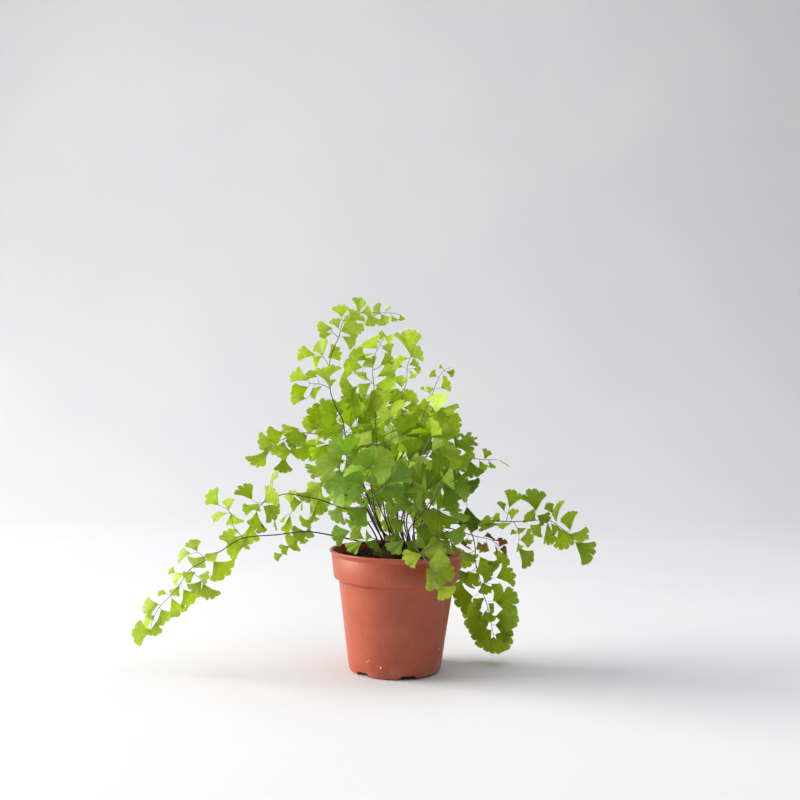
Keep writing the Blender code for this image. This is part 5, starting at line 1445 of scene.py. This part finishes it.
def grow_leaflet(pile, leaf, look, draw):
    """Adds one leaflet: a fan in polar form, with rounded lobes parted by slits.

    At share t of the fan's half angle the margin lies at
    size * (1 - depth * (1 - |sin(pi * phase)| ** LOBE_ROUNDNESS)), where the phase counts lobes.
    The blade then folds along its middle, curls towards its tip and lifts lobe by lobe.
    """
    size = LEAF_FULLNESS * leaf.size
    lobes = lobe_count(draw, size)
    steps = np.concatenate([k + np.array(LOBE_STEPS) for k in range(lobes)] + [[lobes]])
    half = math.radians(draw.uniform(*look.spread))
    slant = draw.uniform(-MARGIN_SLANT, MARGIN_SLANT)
    depths = draw.uniform(*SLIT_DEPTHS, lobes + 1)
    depths[[0, -1]] = draw.uniform(*OUTER_SLIT_DEPTHS, 2)
    nearest = np.clip(steps.round().astype(int), 0, lobes)
    notch = 1 - np.abs(np.sin(math.pi * steps)) ** LOBE_ROUNDNESS
    teeth = draw.uniform(*MARGIN_TEETH, len(steps))
    share = 2 * steps / lobes - 1
    margin = size * (1 - depths[nearest] * notch + teeth)
    margin *= 1 + slant * share - MARGIN_BULGE * share ** 2
    angle = half * share
    rows = np.array(LEAF_ROWS)
    radius = np.maximum(rows[:, None] * margin, LEAF_FOOT_WIDTH)
    # The sides curve in a little towards the stalk.
    turned = angle[None] * (1 - SIDE_CURVE * np.sin(math.pi * rows))[:, None]
    ahead, beside = radius * np.cos(turned), radius * np.sin(turned)
    lifts = np.interp(steps, np.arange(lobes) + 0.5, draw.uniform(-1, 1, lobes))
    out = radius / size
    form = WITHERED_FORM if look.withered else LIVING_FORM
    fold, curl, ruffle = (draw.uniform(*span) for span in form)
    rise = size * (
        fold * (beside / size) ** 2 + curl * (ahead / size) ** 2 + ruffle * lifts * out ** 2
    )
    across = np.cross(leaf.normal, leaf.heading)
    upper = (
        leaf.base + ahead[..., None] * leaf.heading + beside[..., None] * across
        + rise[..., None] * leaf.normal
    )
    thick = LEAF_THICKNESS * np.minimum(1, 4 * (1 - rows[:, None]) + 0.25)
    under = (upper - thick[..., None] * leaf.normal)[1:-1, 1:-1]
    points = np.concatenate([upper.reshape(-1, 3), under.reshape(-1, 3)])
    fan = np.dstack([np.broadcast_to(angle[None], radius.shape), out])
    fan = np.concatenate([fan.reshape(-1, 2), fan[1:-1, 1:-1].reshape(-1, 2)])
    rim = np.ones(upper.shape[:2])
    rim[1:-1, 1:-1] = 0
    rim = np.concatenate([rim.ravel(), np.zeros(under.size // 3)])
    # Painted light and shade: the frond's tone, and so the colour picked here, is paler for lit
    # fronds and darker for shaded ones, on top of the leaflets' own colour.
    tone = np.clip(look.tone + draw.normal(0, look.tone_spread), 0, 1)
    pale = np.interp(tone, [0, 0.35, 0.7, 1], [0, 1, 2, 3])
    low = min(int(pale), 2)
    colour = (1 - pale + low) * GREENS[low] + (pale - low) * GREENS[low + 1]
    blue = max(0, draw.normal(look.blue, 0.12))
    colour = (1 - blue) * colour + blue * BLUE_GREEN
    if look.withered:
        colour = BROWNS[draw.integers(len(BROWNS))]
    colour = np.append(colour * draw.uniform(0.9, 1.1), 1)
    pile.add(
        points, leaflet_faces(lobes), fan=fan, rim=rim, leaflet_colour=colour,
        scorch=float(draw.uniform() < look.scorched),
    )


def grow_stems(pile, branches, leaves):
    """Adds a frond's stem, side branches and leaf stalks as tapered tubes."""
    for number, branch in enumerate(branches):
        count = max(int(branch.length / STEM_STATION) + 1, 4)
        along = np.linspace(0, branch.length, count)
        share = along / branch.length
        path = np.array([branch.at(s) for s in along])
        if number == 0:
            radii = np.interp(share, [0, 0.06, 0.6, 1], MAIN_STEM_RADII)
            young = np.clip(share * 1.35 - 0.35, 0, 1)
        else:
            radii = np.interp(share, [0, 1], SIDE_BRANCH_RADII)
            young = 0.35 + 0.6 * share
        shades = np.append(np.repeat(young, STEM_SIDES), [young[0], young[-1]])
        pile.add(*tube(path, radii, STEM_SIDES), young=shades)
    for leaf in leaves:
        start = leaf.branch.at(leaf.join)
        reach = np.linalg.norm(leaf.base - start)
        if reach < SHORTEST_STALK:
            continue
        ahead = leaf.branch.tangent(leaf.join)
        tip = leaf.base + 0.35 * leaf.heading
        t = np.linspace(0, 1, STALK_STEPS)[:, None]
        leave = start + STALK_PULL * reach * ahead
        arrive = tip - STALK_PULL * reach * leaf.heading
        path = (
            (1 - t) ** 3 * start + 3 * t * (1 - t) ** 2 * leave
            + 3 * t ** 2 * (1 - t) * arrive + t ** 3 * tip
        )
        young = np.interp(leaf.join / leaf.branch.length, [0, 1], [0.35, 0.95])
        pile.add(*tube(path, np.linspace(*LEAF_STALK_RADII, STALK_STEPS), 6), young=young)


def lobe_count(draw, size):
    """Small leaflets have two or three lobes, large ones up to five."""
    return int(np.clip(round(1.4 + size / 6 + draw.uniform(-0.8, 0.8)), 2, 5))


# The look of a frond's leaflets: tone from 0 for deep green to 1 for yellow green and how far it
# varies, the share of blue green, half the fan's angle, and how many have a scorched margin. The
# tone is partly the leaflets' own colour and partly painted light and shade.
Look = collections.namedtuple(
    "Look", "tone tone_spread blue spread scorched withered", defaults=(0.1, 0, (35, 56), 0, False)
)


def green(hex_colour):
    """A leaf colour as an array in linear light."""
    return np.array(linear(hex_colour)[:3])


# From the deep green of old leaflets to the yellow green of new ones; the deep end also serves as
# painted shade, the yellow end as painted light.
GREENS = [green(c) for c in ("#85a61c", "#aec627", "#cfe240", "#dff07c")]
BLUE_GREEN = green("#9cc86a")
BROWNS = [green(c) for c in ("#c0925c", "#d6ad74", "#a87c4a", "#b8b25a")]
# Painted light and shade: the tones are darker for the fronds in the middle, front and right of the
# plant, where the others shade them, and paler for those at the top and left, where the light
# falls.
FROND_LOOKS = {
    "left_low": Look(0.95),
    "left_mid": Look(0.72, blue=0.08),
    "left_inner": Look(0.75, blue=0.08),
    "left_upper": Look(0.58),
    "top_left": Look(0.9),
    "top_centre": Look(0.95),
    "top_right": Look(0.95),
    "right_tip": Look(0.8),
    "right_upper": Look(0.5),
    "right_mid": Look(0.55),
    "right_dark": Look(0.12),
    "right_arch": Look(0.52, tone_spread=0.14, scorched=0.08),
    "right_hanging": Look(0.54, tone_spread=0.06, spread=(46, 64), scorched=0.04),
    "withered": Look(0.3, withered=True),
    "front_right": Look(0.78, spread=(42, 62)),
    "centre_front": Look(0.36, blue=0.3, spread=(38, 54)),
    "centre_left": Look(0.5, blue=0.5, spread=(30, 44)),
    "centre_low": Look(0.5, blue=0.2),
    "centre_mid": Look(0.35, blue=0.15),
    "centre_top": Look(0.78),
    "centre_right": Look(0.32, blue=0.1),
    "right_front": Look(0.16),
    "front_mid": Look(0.3, blue=0.45),
    "low_right": Look(0.12),
    "back_left": Look(0.5),
    "back_centre": Look(0.55),
    "back_right": Look(0.45),
    "middle": Look(0.2, blue=0.15),
}


def make_plant(plant):
    """Two pieces for each frond: its stems, and all its leaflets."""
    leaf = leaf_material("fern_leaflet", linear("#dcec8e"), 0.55)
    dry = leaf_material("withered_leaflet", linear("#b08a5a"), 0.8)
    stem = stem_material()
    for number, (name, (branches, leaves)) in enumerate(plant.items()):
        draw = np.random.default_rng(100 + number)
        look = FROND_LOOKS[name]
        stems, blades = Pile(), Pile()
        grow_stems(stems, branches, leaves)
        for single in leaves:
            grow_leaflet(blades, single, look, draw)
        wires = stems.piece(name + "_stems", stem, numbers=["young"])
        leaflets = blades.piece(
            name + "_leaflets", dry if look.withered else leaf, corners="fan",
            colours=["leaflet_colour"], numbers=["scorch"], rim="rim",
        )
        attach(wires, "root")
        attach(leaflets, "root")
        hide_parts(name + "_stipe")
        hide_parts(name + "_blade")


# ---- Stage, light and camera -----------------------------------------------------------------


def make_stage():
    """A seamless paper sweep: a level floor that curves up into a wall."""
    material, tree, surface, where = new_material("matte_paper_backdrop")
    cloud = add_node(
        tree, "ShaderNodeTexNoise", Vector=where, Scale=fineness(PAPER_CLOUD_SIZE), Detail=2.0
    )
    share = add_node(tree, "ShaderNodeMapRange", SMOOTH, i0=cloud, i1=0.3, i2=0.7)
    colour = add_node(
        tree, "ShaderNodeMix", COLOUR_MIX, 2, i0=share, i6=linear("#d6d6d8"), i7=linear("#d9d9da")
    )
    shader = add_node(
        tree, "ShaderNodeBsdfPrincipled", Base_Color=colour, Roughness=0.9, Specular_IOR_Level=0.2
    )
    tree.links.new(shader, surface)
    bend = np.radians(np.linspace(0, 90, 25))
    back = SWEEP_START + SWEEP_RADIUS * np.sin(bend)
    up = SWEEP_RADIUS * (1 - np.cos(bend))
    profile = np.concatenate([
        [[SWEEP_FRONT, 0.0], [0.4, 0.0]],
        np.stack([back, up], axis=1),
        [[SWEEP_START + SWEEP_RADIUS, SWEEP_TOP]],
    ])
    shape = (len(profile), SWEEP_STRIPS)
    across = np.linspace(-SWEEP_HALF_WIDTH, SWEEP_HALF_WIDTH, SWEEP_STRIPS)
    points = np.stack([
        np.broadcast_to(across, shape),
        np.broadcast_to(profile[:, :1], shape),
        np.broadcast_to(profile[:, 1:] - STAGE_DROP, shape),
    ], axis=-1)
    sweep = add_piece("backdrop", points.reshape(-1, 3), grid_quads(*shape)[:, ::-1], material)


def make_light(name, place, target, size, power, colour):
    """A rectangle of soft light at this place, facing the target."""
    lamp = bpy.data.lights.new(name, "AREA")
    lamp.shape = "RECTANGLE"
    lamp.size, lamp.size_y = size
    lamp.energy = power
    lamp.color = linear(colour)[:3]
    holder = bpy.data.objects.new(name, lamp)
    bpy.context.scene.collection.objects.link(holder)
    holder.location = place
    holder.rotation_euler = (Vector(target) - Vector(place)).to_track_quat("-Z", "Y").to_euler()


def light_and_camera():
    """A wide window of soft light on the left, a pale room around, and the viewer in front."""
    make_light("window", WINDOW_PLACE, WINDOW_TARGET, WINDOW_SIZE, WINDOW_POWER, "#fffdfa")
    make_light(
        "overhead", OVERHEAD_PLACE, OVERHEAD_TARGET, OVERHEAD_SIZE, OVERHEAD_POWER, "#ffffff"
    )
    world = bpy.data.worlds.new("pale_room")
    bpy.context.scene.world = world
    world.use_nodes = True
    tree = world.node_tree
    room = tree.nodes["Background"]
    room.inputs["Color"].default_value = linear("#f0f3fa")
    way = add_node(tree, "ShaderNodeTexCoord", out="Generated")
    height = add_node(tree, "ShaderNodeSeparateXYZ", out=2, i0=way)
    low, high = ROOM_LIGHT
    light = add_node(
        tree, "ShaderNodeMapRange", SMOOTH, i0=height, i1=0.15, i2=0.95, i3=low, i4=high
    )
    tree.links.new(light, room.inputs["Strength"])
    lens = bpy.data.cameras.new("viewer")
    lens.lens = VIEW_LENS
    lens.sensor_width = 36.0
    viewer = bpy.data.objects.new("viewer", lens)
    bpy.context.scene.collection.objects.link(viewer)
    viewer.location = (0, -EYE_DISTANCE * MM, EYE_HEIGHT * MM)
    pitch = Matrix.Rotation(math.radians(90 + VIEW_PITCH), 4, "X")
    roll = Matrix.Rotation(math.radians(VIEW_ROLL), 4, "Z")
    viewer.rotation_euler = (pitch @ roll).to_euler()
    bpy.context.scene.camera = viewer
    bpy.context.scene.view_settings.view_transform = "Standard"


def main():
    plastic = pot_material()
    # Peat is nearly black when moist, its fibres are paler, and perlite is chalky white.
    peat = rough_material("moist_peat", "#17100c", "#3b2a20", PEAT_CRUMB_SIZE)
    fibre = rough_material("peat_fibre", "#5b4030", "#84664a", PEAT_FIBRE_SIZE, 0.85, 0.0001)
    perlite = rough_material("perlite", "#cfcdc6", "#f2f1ec", PERLITE_PORE_SIZE, 0.9, 0.0002)
    bark = rough_material(
        "fern_rhizome", "#20140c", "#5a4029", RHIZOME_SCALE_SIZE, 0.9, 0.0005
    )
    pot = make_pot(plastic)
    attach(pot, "root")
    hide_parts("pot")
    soil = make_soil(peat)
    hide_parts("potting_soil")
    for piece in [soil, *scatter_soil(peat, fibre, perlite), *splash_marks(peat, perlite)]:
        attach(piece, "root")
    crown = make_rhizome(bark)
    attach(crown, "root")
    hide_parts("rhizome")
    make_plant(grow())
    make_stage()
    light_and_camera()


main()
bpy.context.view_layer.update()
